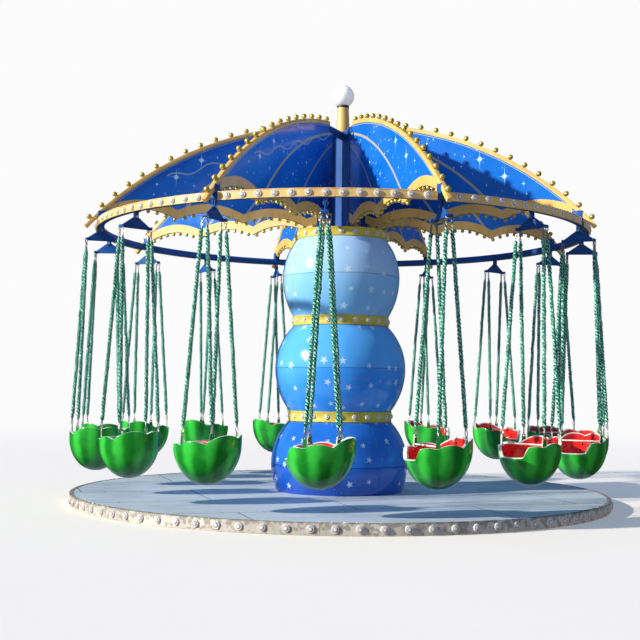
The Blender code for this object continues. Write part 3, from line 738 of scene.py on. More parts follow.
# Canopy ring: an eight-sided navy tube rolled to a circle in four quarters, with a pad under each fin
# and a pair of ears with a bolt for each swing.
RING_RADIUS = 2.740
RING_HALF_WIDTH = 0.038
RING_QUARTER = 90.0
RING_QUARTER_START = -60.0
RING_QUARTER_INSET = 0.004
RING_STEPS = 40
EAR_SIZE = (0.010, 0.046)
EAR_GAP = 0.014
EAR_BELOW_PIN = 0.024
HINGE_BOLT_RADIUS = 0.0078
HINGE_NUT_RADIUS = 0.0145
HINGE_NUT_HEIGHT = 0.009
PAD_SIZE = (0.060, 0.060, 0.020)
PAD_RISE = 0.0305
SWINGS = 16
FINS = 8

ring_low, ring_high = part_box("ring_band")
ring_z = (ring_low.z + ring_high.z) / 2
hinge_z = frame["joints"][1]["pos_m"][2]


def add_block(bm, centre, size, bevel=0.002):
    """A box with softened edges."""
    place = Matrix.Translation(centre) @ Matrix.Diagonal((*size, 1.0))
    made = bmesh.ops.create_cube(bm, size=1.0, matrix=place)["verts"]
    edges = {e for v in made for e in v.link_edges}
    soften(bm, list(edges), bevel)


def ear_pair():
    """Two ears under the ring, with the bolt that the swing's plate hangs on."""
    bm = bmesh.new()
    foot = hinge_z - EAR_BELOW_PIN
    top = ring_z - 0.020
    for side in (-1, 1):
        middle = (side * (EAR_GAP + EAR_SIZE[0]) / 2, 0.0, (foot + top) / 2)
        add_block(bm, middle, (*EAR_SIZE, top - foot), 0.003)
    return as_mesh(bm, "ear_pair")


def hinge_bolt():
    """The bolt through both ears, with its head and nut."""
    bm = bmesh.new()
    across_ears = Matrix.Translation((0, 0, hinge_z)) @ Matrix.Rotation(math.pi / 2, 4, "Y")
    reach = EAR_GAP / 2 + EAR_SIZE[0] + 0.006
    add_rod(bm, 16, HINGE_BOLT_RADIUS, 2 * reach, across_ears)
    for side in (-1, 1):
        nut_place = Matrix.Translation((side * (reach - 0.001), 0, 0)) @ across_ears
        add_rod(bm, 6, HINGE_NUT_RADIUS, HINGE_NUT_HEIGHT, nut_place)
    return as_mesh(bm, "hinge_bolt")


corner = RING_HALF_WIDTH / math.cos(math.pi / 8)
angles = [math.tau * (i + 0.5) / 8 for i in range(8)]
octagon = [(RING_RADIUS + corner * math.cos(a), ring_z + corner * math.sin(a)) for a in angles]
pad = bmesh.new()
add_block(pad, (0, 0, ring_z + PAD_RISE), PAD_SIZE)
pad_mesh = as_mesh(pad, "pad")
ear_mesh = ear_pair()
fin_angles = [360 * (i + 0.5) / FINS - 180 for i in range(FINS)]
ear_angles = [360 * i / SWINGS - 180 for i in range(SWINGS)]
for quarter in range(4):
    start = RING_QUARTER_START + quarter * RING_QUARTER
    bm = swept(octagon, start + RING_QUARTER_INSET, RING_QUARTER - 2 * RING_QUARTER_INSET, RING_STEPS)
    for mesh, angles in ((pad_mesh, fin_angles), (ear_mesh, ear_angles)):
        for angle in angles:
            if (angle - start) % 360 < RING_QUARTER:
                add_copy(bm, mesh, out_at(angle, RING_RADIUS, 0.0))
    piece("ring_quarter_%02d" % (quarter + 1), bm, "canopy", "navy_steel", navy_paint,
          stands_for=("canopy_ring_%02d" % (quarter + 1),))
bm = spread(hinge_bolt(), round_the_ride(SWINGS, 0.0, RING_RADIUS, 0.0))
piece("ring_hinge_bolts", bm, "canopy", "zinc_steel", zinc)


# Lamp band: eight lengths of pale gold sheet round the ring's outer face, one between each two fins,
# with folded edges and thirteen lamps each.
BAND_HALF_HEIGHT = 0.040
BAND_STEPS = 28
BAND_FACE = 2.7870
BAND_LIP = 0.0035
BAND_FOLD = (0.006, 0.009)
BAND_GAP = 0.120
BAND_LAMPS = 13
BAND_LAMP_PITCH = 3.208
BAND_LAMP_RADIUS = 0.032

band_paint = painted("band_paint", (0.83, 0.57, 0.21), (0.42, 0.26, 0.09), 0.35, dirt=0.35)
band_back = RING_RADIUS + RING_HALF_WIDTH + 0.0003
band_outer = BAND_FACE + BAND_LIP
low = ring_z - BAND_HALF_HEIGHT
high = ring_z + BAND_HALF_HEIGHT
section = [(band_back, low), (band_outer, low), (band_outer, low + BAND_FOLD[0]),
           (BAND_FACE, low + BAND_FOLD[1]), (BAND_FACE, high - BAND_FOLD[1]),
           (band_outer, high - BAND_FOLD[0]), (band_outer, high), (band_back, high)]
gap_angle = math.degrees(BAND_GAP / BAND_FACE)
for index in range(FINS):
    middle = 360 * index / FINS
    sweep = 360 / FINS - gap_angle
    bm = swept(section, middle - sweep / 2, sweep, BAND_STEPS)
    stands_for = ("ring_band",) if index == 0 else ()
    piece("band_length_%02d" % (index + 1), bm, "canopy", "band_gold", band_paint, smooth=25.0,
          stands_for=stands_for)
places = [out_at(360 / FINS * i + BAND_LAMP_PITCH * (j - (BAND_LAMPS - 1) / 2), BAND_FACE, ring_z)
          for i in range(FINS) for j in range(BAND_LAMPS)]
piece("band_lamps", spread(lamp(BAND_LAMP_RADIUS), places), "canopy", "lamp_clear", *lamp_materials)


# Fins: eight blades that stand on edge, each a box of printed blue sheet on a navy post beside the mast.
# A gold strip runs over the curved top, a scalloped gold border along the foot, with gold ball lamps.
FIN_ARC_CENTRE_Z = 0.403
FIN_ARC_RADIUS = 3.905
FIN_TIP_Z = 2.970
STRIP_WIDTH = 0.050
STRIP_DEPTH = 0.045
EDGE_HIGHLIGHT_INSET = 0.012
WEB_INNER = 0.0856
WEB_HEIGHTS = (4.165, 4.240)
STRIP_INNER = 0.383
POST_INNER = 0.262
POST_SIZE = 0.048
POST_WIDTH = 0.045
POST_FOOT = 0.0206
SHOE_SIZE = (0.062, 0.062, 0.060)
WEB_WIDTH = 0.044
RING_CHEEK = (0.090, 0.100)
CUSPS = (2.680, 1.930, 1.180, 0.430)
CUSP_Z = 3.110
SCALLOP_RISE = 0.090
BORDER_HEIGHT = 0.097
BALL_RADIUS = 0.029
SMALL_BALL_RADIUS = 0.022
TOP_BALLS = 16
TOP_BALL_START = 0.425
FOOT_BALLS = 25
FOOT_BALL_START = 2.645
FOOT_BALL_PITCH = 0.1
PANEL_THICKNESS = 0.039
PANEL_TIP = 2.7905
SHEET_COLUMNS = 16
CHEEK_THICKNESS = 0.006
BALL_ARC_RADIUS = FIN_ARC_RADIUS + 0.026
SPARKLES = ((1.95, 3.575, 0.19), (1.67, 3.785, 0.19), (1.64, 3.90, 0.07), (2.16, 3.48, 0.08),
            (2.194, 3.367, 0.06), (1.49, 3.83, 0.06), (1.46, 3.72, 0.07), (1.055, 4.016, 0.07),
            (0.941, 3.710, 0.08), (1.249, 3.525, 0.09), (1.372, 3.715, 0.06), (1.749, 3.494, 0.06),
            (2.067, 3.383, 0.05))
WAVE_LINE = (4.26, 0.34, 0.03)
WAVE_TURNS = 15.0
PRINT_LINES = ((-0.240, 1.551, 2.672, 0.80), (-1.286, 1.621, 2.904, 0.45))


def fin_print():
    """Blue sheet printed with sparkles, falling specks and thin gold curves, and a wave on one side."""
    material, place = new_material("fin_print", (0.02, 0.16, 0.75), 0.18, coat_weight=0.2, coat_roughness=0.1)
    x, y, z = place.parts()
    radius = (x * x + y * y) ** 0.5

    def from_centre(centre_radius, centre_z):
        return ((radius - centre_radius) ** 2.0 + (z - centre_z) ** 2.0) ** 0.5

    first_line = from_centre(*PRINT_LINES[0][:2]) - PRINT_LINES[0][2]
    # Painted shade: inside the first gold curve, towards the mast, the sheet is given a much darker blue.
    outside_painted_mast_shade = first_line.step(-0.75, -0.10)
    clouds = place.scaled(1.0, 1.0, 1.6).noise(1.6, 5.0).step(0.35, 0.7)
    colour = outside_painted_mast_shade.blend((0.001, 0.046, 0.30), (0.004, 0.150, 0.62))
    colour = (clouds * 0.30).blend(colour, (0.035, 0.240, 0.76))
    streak_place = place.node("CombineXYZ", {}, {0: radius * 15.0, 1: z * 4.6, 2: 0.0})
    specks = streak_place.cells(1.0, voronoi_dimensions="2D")
    chance, second_chance, _ = specks.out(1).parts("SeparateColor")
    thick = (2.9 - radius) * 0.052 * chance * (second_chance > 0.12)
    light = 1 - (specks / thick.most(0.004)).step(0.5, 1.0)
    for sparkle_radius, sparkle_z, size in SPARKLES:
        dx = abs(radius - sparkle_radius) / (size * 0.82)
        dz = abs(z - sparkle_z) / (size * 0.82)
        ray = (1 - dx * 22.0 - dz).most(1 - dx * 1.7 - dz * 24.0)
        glow = 1 - (dx * dx + dz * dz) * 26.0
        light = light.most(ray.most(glow).step(0.0, 0.75))
    colour = (light * 0.85).blend(colour, (0.66, 0.90, 1.0))
    for centre_radius, centre_z, arc_radius, strength in PRINT_LINES:
        gold = 1 - abs(from_centre(centre_radius, centre_z) - arc_radius).step(0.011, 0.016)
        colour = (gold * strength).blend(colour, (0.58, 0.50, 0.24))
    wave = radius * WAVE_TURNS
    wave = abs(z - WAVE_LINE[0] + radius * WAVE_LINE[1] + wave.math("SINE") * WAVE_LINE[2])
    facing = (x.math("ARCTAN2", 0 - y) * (FINS / math.tau)) % 1.0 > 0.5
    wave = (1 - wave.step(0.006, 0.010)) * facing * (radius < 2.05)
    colour = (wave * 0.6).blend(colour, (0.62, 0.56, 0.34))
    # Painted highlight: a pale line just under the gold strip, where the sheet's top edge catches the light.
    edge_highlight_radius = FIN_ARC_RADIUS - STRIP_DEPTH - EDGE_HIGHLIGHT_INSET
    painted_edge_highlight = 1 - abs(from_centre(0.0, FIN_ARC_CENTRE_Z) - edge_highlight_radius).step(0.002, 0.004)
    colour = (painted_edge_highlight * 0.5).blend(colour, (0.86, 0.92, 1.0))
    colour.to("Base Color")
    (place.noise(9.0, 4.0) * 0.16 + 0.10).to("Roughness")
    (place.noise(2.6, 2.0) + place.noise(60.0, 1.0) * 0.006).bump(0.006)
    return material


def scallop(radius):
    """Height of the fins' lower edge at a radius."""
    share = (CUSPS[0] - radius) / (CUSPS[0] - CUSPS[1]) % 1.0
    return CUSP_Z + SCALLOP_RISE * (1 - (2 * share - 1) ** 2) * (radius < CUSPS[0])


def under_strip(radius):
    """Height of the top of the printed sheet, just inside the gold strip or level with the web."""
    inside = FIN_ARC_RADIUS - STRIP_DEPTH + 0.003
    return FIN_ARC_CENTRE_Z + math.sqrt(inside ** 2 - radius ** 2) if radius > STRIP_INNER else WEB_HEIGHTS[1]


def standing_sheet(edges, columns, rows, low, high, thickness):
    """A closed sheet across +X between two heights, made span by span between edges along -Y."""
    bm = bmesh.new()
    for inner, outer in zip(edges, edges[1:]):
        grid = bmesh.ops.create_grid(bm, x_segments=columns, y_segments=rows, size=0.5)["verts"]
        for corner in grid:
            radius = inner + (outer - inner) * (corner.co.x + 0.5)
            share = corner.co.y + 0.5
            corner.co = (thickness / 2, -radius, low(radius) + (high(radius) - low(radius)) * share)
    bmesh.ops.remove_doubles(bm, verts=bm.verts, dist=1e-5)
    back = bmesh.ops.extrude_face_region(bm, geom=bm.faces[:])["geom"]
    shift_new(bm, back, (-thickness, 0, 0))
    return as_mesh(bm, "standing_sheet")


def soften_sharp(bm, width):
    """Rounds over every edge whose faces meet at more than one radian."""
    bmesh.ops.recalc_face_normals(bm, faces=bm.faces)
    soften(bm, [e for e in bm.edges if e.calc_face_angle(0.0) > 1.0], width)


def gold_strip():
    """The box strip over the fin's curved top, from near the post down past the ring."""
    bm = bmesh.new()
    corners = [(side * STRIP_WIDTH / 2, FIN_ARC_RADIUS - depth) for side, depth in
               ((-1, 0.0), (1, 0.0), (1, STRIP_DEPTH), (-1, STRIP_DEPTH))]
    face = bm.faces.new([bm.verts.new((across, 0.0, FIN_ARC_CENTRE_Z + up)) for across, up in corners])
    start = math.asin(STRIP_INNER / FIN_ARC_RADIUS)
    end = math.acos((FIN_TIP_Z - FIN_ARC_CENTRE_Z) / (FIN_ARC_RADIUS - STRIP_DEPTH / 2))
    centre = (0.0, 0.0, FIN_ARC_CENTRE_Z)
    bmesh.ops.rotate(bm, verts=bm.verts, cent=centre, matrix=Matrix.Rotation(start, 3, "X"))
    bmesh.ops.spin(bm, geom=[face], cent=centre, axis=(1, 0, 0), angle=end - start, steps=48)
    soften_sharp(bm, 0.004)
    return as_mesh(bm, "gold_strip")


def ball_lamp(radius):
    """A gold ball that stands on a short dark collar, up along +Z from its foot."""
    bm = bmesh.new()
    bmesh.ops.create_icosphere(bm, subdivisions=2, radius=radius,
                               matrix=Matrix.Translation((0, 0, radius * 0.92)))
    ball_faces = set(bm.faces)
    bmesh.ops.create_cone(bm, cap_ends=True, segments=8, radius1=radius * 0.62, radius2=radius * 0.55,
                          depth=radius * 0.36, matrix=Matrix.Translation((0, 0, radius * 0.10)))
    for face in bm.faces:
        face.material_index = 0 if face in ball_faces else 1
    return as_mesh(bm, "ball_lamp")


def mirror_gold():
    material, place = new_material("mirror_gold", (0.88, 0.74, 0.20), 0.3, 0.55)
    # Painted reflection: the dark gold cells stand in for mirror facets reflecting darker surroundings; the
    # bump is the facets' shape.
    facets_and_painted_reflections = place.cells(150.0)
    facets_and_painted_reflections.step(0.1, 0.9).blend((0.90, 0.74, 0.20), (0.56, 0.42, 0.07)).to("Base Color")
    (place.noise(30.0) * 0.25 + 0.20).to("Roughness")
    facets_and_painted_reflections.bump(0.002)
    return material


sheet_edges = (POST_INNER + POST_SIZE - 0.002,) + CUSPS[::-1] + (PANEL_TIP,)
panel = standing_sheet(sheet_edges, SHEET_COLUMNS, 8, lambda r: scallop(r) + 0.010, under_strip,
                       PANEL_THICKNESS)
border = standing_sheet(sheet_edges[:-1], SHEET_COLUMNS, 1, scallop, lambda r: scallop(r) + BORDER_HEIGHT,
                        PANEL_THICKNESS + 0.006)
strip = gold_strip()
top_start = math.asin(TOP_BALL_START / BALL_ARC_RADIUS)
top_end = math.acos((FIN_TIP_Z + 0.11 - FIN_ARC_CENTRE_Z) / BALL_ARC_RADIUS)
top_places = []
for i in range(TOP_BALLS):
    a = top_start + (top_end - top_start) * i / (TOP_BALLS - 1)
    top_places.append(Matrix.Translation((0, 0, FIN_ARC_CENTRE_Z)) @ Matrix.Rotation(a, 4, "X")
                      @ Matrix.Translation((0, 0, FIN_ARC_RADIUS)))
foot_places = []
for i in range(FOOT_BALLS):
    radius = FOOT_BALL_START - FOOT_BALL_PITCH * i
    slope = (scallop(radius + 0.01) - scallop(radius - 0.01)) / 0.02
    foot_places.append(Matrix.Translation((0, -radius, scallop(radius)))
                       @ Matrix.Rotation(math.pi - math.atan(slope), 4, "X"))
balls = spread(ball_lamp(BALL_RADIUS), top_places)
small = ball_lamp(SMALL_BALL_RADIUS)
for place in foot_places:
    add_copy(balls, small, place)
balls = as_mesh(balls, "balls")
post = bmesh.new()
post_low_z = mast_low.z + POST_FOOT
post_top_z = WEB_HEIGHTS[1] - 0.001
post_middle = -(POST_INNER + POST_SIZE / 2)
add_block(post, (0, post_middle, (post_low_z + post_top_z) / 2),
          (POST_WIDTH, POST_SIZE, post_top_z - post_low_z), 0.003)
add_block(post, (0, post_middle, post_low_z + SHOE_SIZE[2] / 2), SHOE_SIZE, 0.003)
web_middle = sum(WEB_HEIGHTS) / 2
web_height = WEB_HEIGHTS[1] - WEB_HEIGHTS[0]
add_block(post, (0, -(WEB_INNER + POST_INNER) / 2, web_middle),
          (WEB_WIDTH, POST_INNER - WEB_INNER + 0.004, web_height))
for side in (-1, 1):
    add_block(post, (side * 0.0265, -2.742, ring_z + 0.070), (CHEEK_THICKNESS, *RING_CHEEK), 0.0015)
    add_block(post, (side * 0.0240, -(WEB_INNER + STRIP_INNER) / 2, web_middle),
              (CHEEK_THICKNESS, STRIP_INNER - WEB_INNER - 0.004, web_height - 0.002), 0.0015)
post = as_mesh(post, "fin_steel")
print_sheet = fin_print()
gold_paint = painted("gold_paint", (0.86, 0.53, 0.14), (0.46, 0.25, 0.07), 0.32, dirt=0.35, coat_weight=0.2)
ball_gold = mirror_gold()
for index in range(FINS):
    name = "fin_%02d_" % (index + 1)
    turn = [Matrix.Rotation(math.tau * (index + 0.5) / FINS, 4, "Z")]
    piece(name + "panel", spread(panel, turn), "canopy", "fin_panel", print_sheet,
          stands_for=("canopy_fin_%02d" % (index + 1),))
    trim = spread(border, turn)
    add_copy(trim, strip, turn[0])
    piece(name + "gold", trim, "canopy", "band_gold", gold_paint)
    piece(name + "balls", spread(balls, turn), "canopy", "ball_gold", ball_gold, collar_black, smooth=60.0)
    piece(name + "steel", spread(post, turn), "canopy", "navy_steel", navy_paint)


# Hangers: each swing hangs on a navy three-cornered plate that rocks on the ring's bolt. A short bar
# through each lower corner holds two shackles. The frame here has its origin on the hinge, -Y outwards.
PLATE_THICKNESS = 0.012
PLATE_EYE_RADIUS = 0.026
PLATE_HALF_BASE = 0.160
PLATE_DROP = 0.105
PLATE_END_HALF = 0.012
BAR_HALF_LENGTH = 0.039
BAR_SECTION = (0.026, 0.030)
BRACE_SECTION = (0.030, 0.012)
BRACE_INSET = 0.015
ROPE_TOP_SPREAD = 0.024


def hanger_plate():
    bm = bmesh.new()
    angles = [math.pi * i / 10 for i in range(11)]
    eye = [(PLATE_EYE_RADIUS * math.cos(a), PLATE_EYE_RADIUS * math.sin(a)) for a in angles]
    low = -PLATE_DROP - PLATE_END_HALF
    high = -PLATE_DROP + PLATE_END_HALF
    outline = eye + [(-PLATE_HALF_BASE, high), (-PLATE_HALF_BASE, low), (PLATE_HALF_BASE, low),
                     (PLATE_HALF_BASE, high)]
    face = bm.faces.new([bm.verts.new((-PLATE_THICKNESS / 2, along_y, up)) for along_y, up in outline])
    grown = bmesh.ops.extrude_face_region(bm, geom=[face])["geom"]
    shift_new(bm, grown, (PLATE_THICKNESS, 0, 0))
    soften_sharp(bm, 0.002)
    for side in (-1, 1):
        add_block(bm, (0.0, side * PLATE_HALF_BASE, -PLATE_DROP), (2 * BAR_HALF_LENGTH, *BAR_SECTION), 0.005)
    brace_length = 2 * (PLATE_HALF_BASE - BRACE_INSET)
    add_block(bm, (0.0, 0.0, low + BRACE_SECTION[1] / 2), (BRACE_SECTION[0], brace_length, BRACE_SECTION[1]))
    return as_mesh(bm, "hanger_plate")


# Ropes: four chains to a seat, each in a ruched sleeve of green fabric that bunches in short folds.
# Bare links show at the top, and at the foot a snap hook holds the seat's lug.
SLEEVE_RADIUS = 0.0185
SLEEVE_SIDES = 10
SLEEVE_ROW = 0.012
SLEEVE_TOP = 0.105
SLEEVE_FOOT = 0.054
LINK_WIRE = 0.0042
LINK_WIDTH = 0.024
LINK_STRETCH = 0.020
HOOK_WIRE = 0.0048
HOOK_WIDTH = 0.030
HOOK_STRETCH = 0.032
HOOK_RISE = 0.027
SHACKLE_WIDTH = 0.036
SHACKLE_STRETCH = 0.016
SHACKLE_DROP = 0.018
TOP_LINKS = 3
TOP_LINKS_DROP = 0.052
SLEEVE_SETS = 3
TWIST_PITCH = 0.036
BUNCHES_PER_METRE = 26
BUNCH_DEPTH = 0.26
TWIST_DEPTH = 0.20
SLEEVE_SWAY = 0.004

SEAT_RADIUS = 0.328
SEAT_UPRIGHT = (0.400, 0.340)
SEAT_WIDTH_RATIO = 0.86
SEAT_FORWARD = 0.030
SEAT_WALL = 0.034
LIP_HEIGHT = 0.270
LIP_RISE = 0.103
LIP_HALF_ANGLE = 28
LIP_SLOPE_ANGLE = 13
RIM_LOBES = ((42, 68, 0.377, 0.374, 0.012), (68, 114, 0.374, 0.386, 0.034), (114, 180, 0.386, 0.440, 0.052))
LUG_ANGLES = (69.75, 126.0)
LUG_TOP_Z = 0.855
seat_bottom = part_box("seat_01")[0].z - hinge_z
lug_top = LUG_TOP_Z - hinge_z


def rim_height(degrees):
    """Height of the melon's cut edge over its bottom: a low front lip, then lobes between cusps."""
    turn = min(degrees % 360, 360 - degrees % 360)
    first_cusp = RIM_LOBES[0][0]
    if turn < first_cusp:
        share = min(max((turn - LIP_HALF_ANGLE) / LIP_SLOPE_ANGLE, 0.0), 1.0)
        return LIP_HEIGHT + LIP_RISE * share * share * (3 - 2 * share) + 0.004 * turn / first_cusp
    for start, end, low, high, lobe in RIM_LOBES:
        if turn <= end:
            share = (turn - start) / (end - start)
            return low + (high - low) * share + lobe * (1 - (2 * share - 1) ** 2)


def profile_radius(degrees, height):
    """Radius of the bowl, which turns upright lower down at its sides than at its front and back."""
    upright = SEAT_UPRIGHT[0] + (SEAT_UPRIGHT[1] - SEAT_UPRIGHT[0]) * math.sin(math.radians(degrees)) ** 2
    share = min(1.0, height / upright)
    return SEAT_RADIUS * math.sqrt(1 - (1 - share) ** 2)


def bowl_point(degrees, radius, height):
    """A point of the seat: the front looks along -X, and the plan is an oval."""
    a = math.radians(degrees)
    return Vector((-SEAT_FORWARD - radius * math.cos(a), -SEAT_WIDTH_RATIO * radius * math.sin(a),
                   seat_bottom + height))


def lug_places():
    """The middle of the seat's wall under each rope, on the rim, with its direction round the seat."""
    places = []
    for degrees in LUG_ANGLES:
        for turn in (degrees, 360 - degrees):
            height = rim_height(turn)
            places.append((bowl_point(turn, profile_radius(turn, height) - SEAT_WALL / 2, height), turn))
    return places


def rope_ends():
    """The top and the foot of each of a seat's four ropes."""
    ends = []
    for point, turn in lug_places():
        top = Vector((math.copysign(ROPE_TOP_SPREAD, point.x), math.copysign(PLATE_HALF_BASE, point.y),
                      -PLATE_DROP))
        ends.append((top, Vector((point.x, point.y, lug_top))))
    return ends


def along_rope(top, foot, distance, twist=0.0):
    """A place down a rope, whose -Z runs towards the seat."""
    direction = (foot - top).normalized()
    turn = (-direction).to_track_quat("Z", "X").to_matrix().to_4x4()
    return Matrix.Translation(top + direction * distance) @ turn @ Matrix.Rotation(twist, 4, "Z")


def sleeves(seed):
    """The four sleeves of one seat, with folds that differ from seed to seed."""
    whole = bmesh.new()
    for index, (top, foot) in enumerate(rope_ends()):
        length = (foot - top).length - SLEEVE_TOP - SLEEVE_FOOT
        rows = round(length / SLEEVE_ROW)
        bm = bmesh.new()
        bmesh.ops.create_circle(bm, cap_ends=True, segments=SLEEVE_SIDES, radius=SLEEVE_RADIUS)
        rim = bm.edges[:]
        for row in range(rows):
            grown = bmesh.ops.extrude_edge_only(bm, edges=rim)["geom"]
            rim = [e for e in grown if isinstance(e, bmesh.types.BMEdge)]
            shift_new(bm, grown, (0, 0, -length / rows))
        bmesh.ops.contextual_create(bm, geom=rim)
        shift = 10.0 * seed + 2.5 * index
        for corner in bm.verts:
            a = math.atan2(corner.co.y, corner.co.x)
            down = -corner.co.z
            ends_in = min(1.0, 0.45 + 14 * min(down, length - down))
            fold = down * BUNCHES_PER_METRE + shift
            bunch = noise.noise(Vector((1.2 * math.cos(a), 1.2 * math.sin(a), fold)))
            wander = 3.0 * noise.noise(Vector((down * 7, shift, 0.0)))
            twist = math.sin(a + down * math.tau / TWIST_PITCH + wander)
            corner.co.xy *= ends_in * (1.0 + BUNCH_DEPTH * bunch + TWIST_DEPTH * twist)
            corner.co.x += SLEEVE_SWAY * noise.noise(Vector((down * 9, shift, 3.0)))
            corner.co.y += SLEEVE_SWAY * noise.noise(Vector((down * 9, shift, 7.0)))
        add_copy(whole, as_mesh(bm, "sleeve"), along_rope(top, foot, SLEEVE_TOP))
    return as_mesh(whole, "sleeves")


def ring_link(wire, width, stretch):
    """A link of round wire that stands along Z: a ring whose halves are moved apart."""
    bm = bmesh.new()
    section = bmesh.ops.create_circle(bm, segments=6, radius=wire,
                                      matrix=Matrix.Translation((width / 2 - wire, 0, 0)))
    edges = list({e for v in section["verts"] for e in v.link_edges})
    bmesh.ops.spin(bm, geom=section["verts"] + edges, cent=(0, 0, 0), axis=(0, 1, 0), angle=math.tau,
                   steps=12, use_merge=True)
    bmesh.ops.remove_doubles(bm, verts=bm.verts, dist=1e-5)
    for corner in bm.verts:
        if abs(corner.co.z) > 1e-4:
            corner.co.z += math.copysign(stretch / 2, corner.co.z)
    return as_mesh(bm, "ring_link")


def rope_hardware():
    """The shackles, links and snap hooks of one seat's four ropes."""
    link = ring_link(LINK_WIRE, LINK_WIDTH, LINK_STRETCH)
    shackle = ring_link(HOOK_WIRE, SHACKLE_WIDTH, SHACKLE_STRETCH)
    hook = ring_link(HOOK_WIRE, HOOK_WIDTH, HOOK_STRETCH)
    pitch = LINK_WIDTH + LINK_STRETCH - 4 * LINK_WIRE
    bm = bmesh.new()
    for top, foot in rope_ends():
        length = (foot - top).length
        parts = [(shackle, SHACKLE_DROP, 0.0), (hook, length - HOOK_RISE, 0.0)]
        parts += [(link, TOP_LINKS_DROP + pitch * i, math.pi / 2 * (i + 1)) for i in range(TOP_LINKS)]
        for mesh, distance, twist in parts:
            add_copy(bm, mesh, along_rope(top, foot, distance, twist))
    return as_mesh(bm, "rope_hardware")


def sleeve_fabric():
    material, place = new_material("sleeve_fabric", (0.05, 0.42, 0.27), 0.45, specular_ior_level=0.25)
    x, y, z = place.parts()
    folds = place.scaled(1.0, 1.0, 2.6).noise(22.0, 3.0)
    twist = (x + y * 0.8 + z + folds * 0.075) * (math.tau / TWIST_PITCH)
    twist = twist.math("SINE") * 0.5 + 0.5
    fade = place.noise(1.8, 3.0).step(0.35, 0.7)
    # Painted shade and painted highlight: the near-black tone fills the recesses of the twist and folds, and
    # the pale mint tone is a painted sheen on their crests.
    colour = (twist * 0.6 + folds * 0.7).step(0.30, 0.82).blend((0.001, 0.046, 0.030), (0.040, 0.420, 0.250))
    colour = (twist * 0.6 + folds * 0.7).step(0.76, 0.94).blend(colour, (0.54, 0.92, 0.77))
    colour = (fade * 0.25).blend(colour, (0.10, 0.50, 0.34))
    colour.to("Base Color")
    weave = place.node("TexWave", {"wave_type": "BANDS", "bands_direction": "DIAGONAL"},
                       {"Vector": place, "Scale": 210.0, "Distortion": 2.0})
    (folds + twist * 0.7 + weave * 0.10).bump(0.007)
    return material


# Seats: a half melon of moulded plastic, glossy green outside and red inside, with a cream edge like
# cut rind. Four tabs of the same shell rise from the edge for the snap hooks.
RIND_COLUMNS = 72
RIND_ROWS = 14
RIND_ROW_POWER = 1.8
EDGE_ROUNDING = 0.004
TAB_FOOT_WIDTH = 0.050
TAB_TOP_WIDTH = 0.031
TAB_THICKNESS = 0.012
TAB_ROOT = 0.030
TAB_EYE = 0.009
TAB_EYE_DROP = 0.018
TAB_CROWN = 0.016
TAB_SIDES = 16
BAR_RADIUS = 0.0075
BAR_RISE = 0.020
CUT_LONGITUDE = 44.0
CUT_HEIGHT = 0.262
SEED_COLUMNS = 20.0
SEED_ROWS = 6.0


def melon_rind():
    material, place = new_material("melon_rind", (0.04, 0.42, 0.10), 0.20, coat_weight=0.12,
                                   coat_roughness=0.06, specular_ior_level=0.35)
    round_seat, up_seat, _ = place.node("UVMap", {"uv_map": "melon"}).parts()
    wobble = place.noise(7.0, 3.0) * 0.030
    stripes = (round_seat + wobble) * (math.tau * 9)
    bands = stripes.math("SINE") * 0.45 + place.noise(6.0, 4.0) * 0.9
    colour = bands.step(0.05, 0.95).blend((0.007, 0.200, 0.018), (0.036, 0.500, 0.050))
    colour = (place.noise(3.0, 2.0).step(0.4, 0.7) * 0.3).blend(colour, (0.055, 0.530, 0.066))
    # Painted shade: the rind is darkened towards the seat's bottom, where shade falls.
    painted_underside_shade = 1 - (up_seat + place.noise(4.0) * 0.2).step(0.40, 0.82)
    colour = (painted_underside_shade * 0.78).blend(colour, (0.002, 0.070, 0.026))
    scratches = place.scaled(1.0, 1.0, 6.0).noise(35.0, 4.0).step(0.66, 0.74)
    (scratches * 0.2).blend(colour, (0.20, 0.50, 0.20)).to("Base Color")
    (scratches * 0.3 + place.noise(20.0) * 0.10 + 0.08).to("Roughness")
    (bands * 0.5 + place.noise(120.0, 2.0) * 0.05).bump(0.002)
    return material


def melon_edge():
    material, place = new_material("melon_edge", (0.88, 0.88, 0.78), 0.3)
    place.noise(18.0, 4.0).step(0.3, 0.75).blend((0.90, 0.90, 0.82), (0.70, 0.76, 0.56)).to("Base Color")
    place.noise(90.0).bump(0.0008)
    return material


def melon_flesh():
    material, place = new_material("melon_flesh", (0.75, 0.03, 0.02), 0.2, coat_weight=0.4,
                                   coat_roughness=0.1)
    uv = place.node("UVMap", {"uv_map": "melon"})
    round_seat, up_seat, _ = uv.parts()
    grid = uv.scaled(SEED_COLUMNS, SEED_ROWS, 1.0)
    seeds = grid.node("TexVoronoi", {"voronoi_dimensions": "2D"},
                      {"Vector": grid, "Scale": 1.0, "Randomness": 0.75})
    chance = seeds.out(1).parts("SeparateColor")[0]
    seed = (1 - seeds.step(0.10, 0.14)) * (chance > 0.35) * (up_seat > 0.35) * (up_seat < 0.93)
    crinkles = place.cells(11.0)
    pulp = (crinkles + place.noise(9.0, 5.0) * 0.5).step(0.3, 0.9)
    red = pulp.blend((0.62, 0.008, 0.012), (0.86, 0.030, 0.022))
    height = place.parts()[2] - (seat_bottom + hinge_z)
    cut = CUT_LONGITUDE / 360
    beside_cut = 1 - round_seat.least(1 - round_seat).step(cut - 0.004, cut + 0.004)
    rind = up_seat.step(0.982, 0.992).most(beside_cut * height.step(CUT_HEIGHT, CUT_HEIGHT + 0.01))
    colour = rind.blend(red, (0.90, 0.88, 0.80))
    (seed * (1 - rind)).blend(colour, (0.012, 0.008, 0.006)).to("Base Color")
    (seed * 0.25 + crinkles * 0.8 + place.noise(60.0) * 0.02).bump(0.012)
    return material


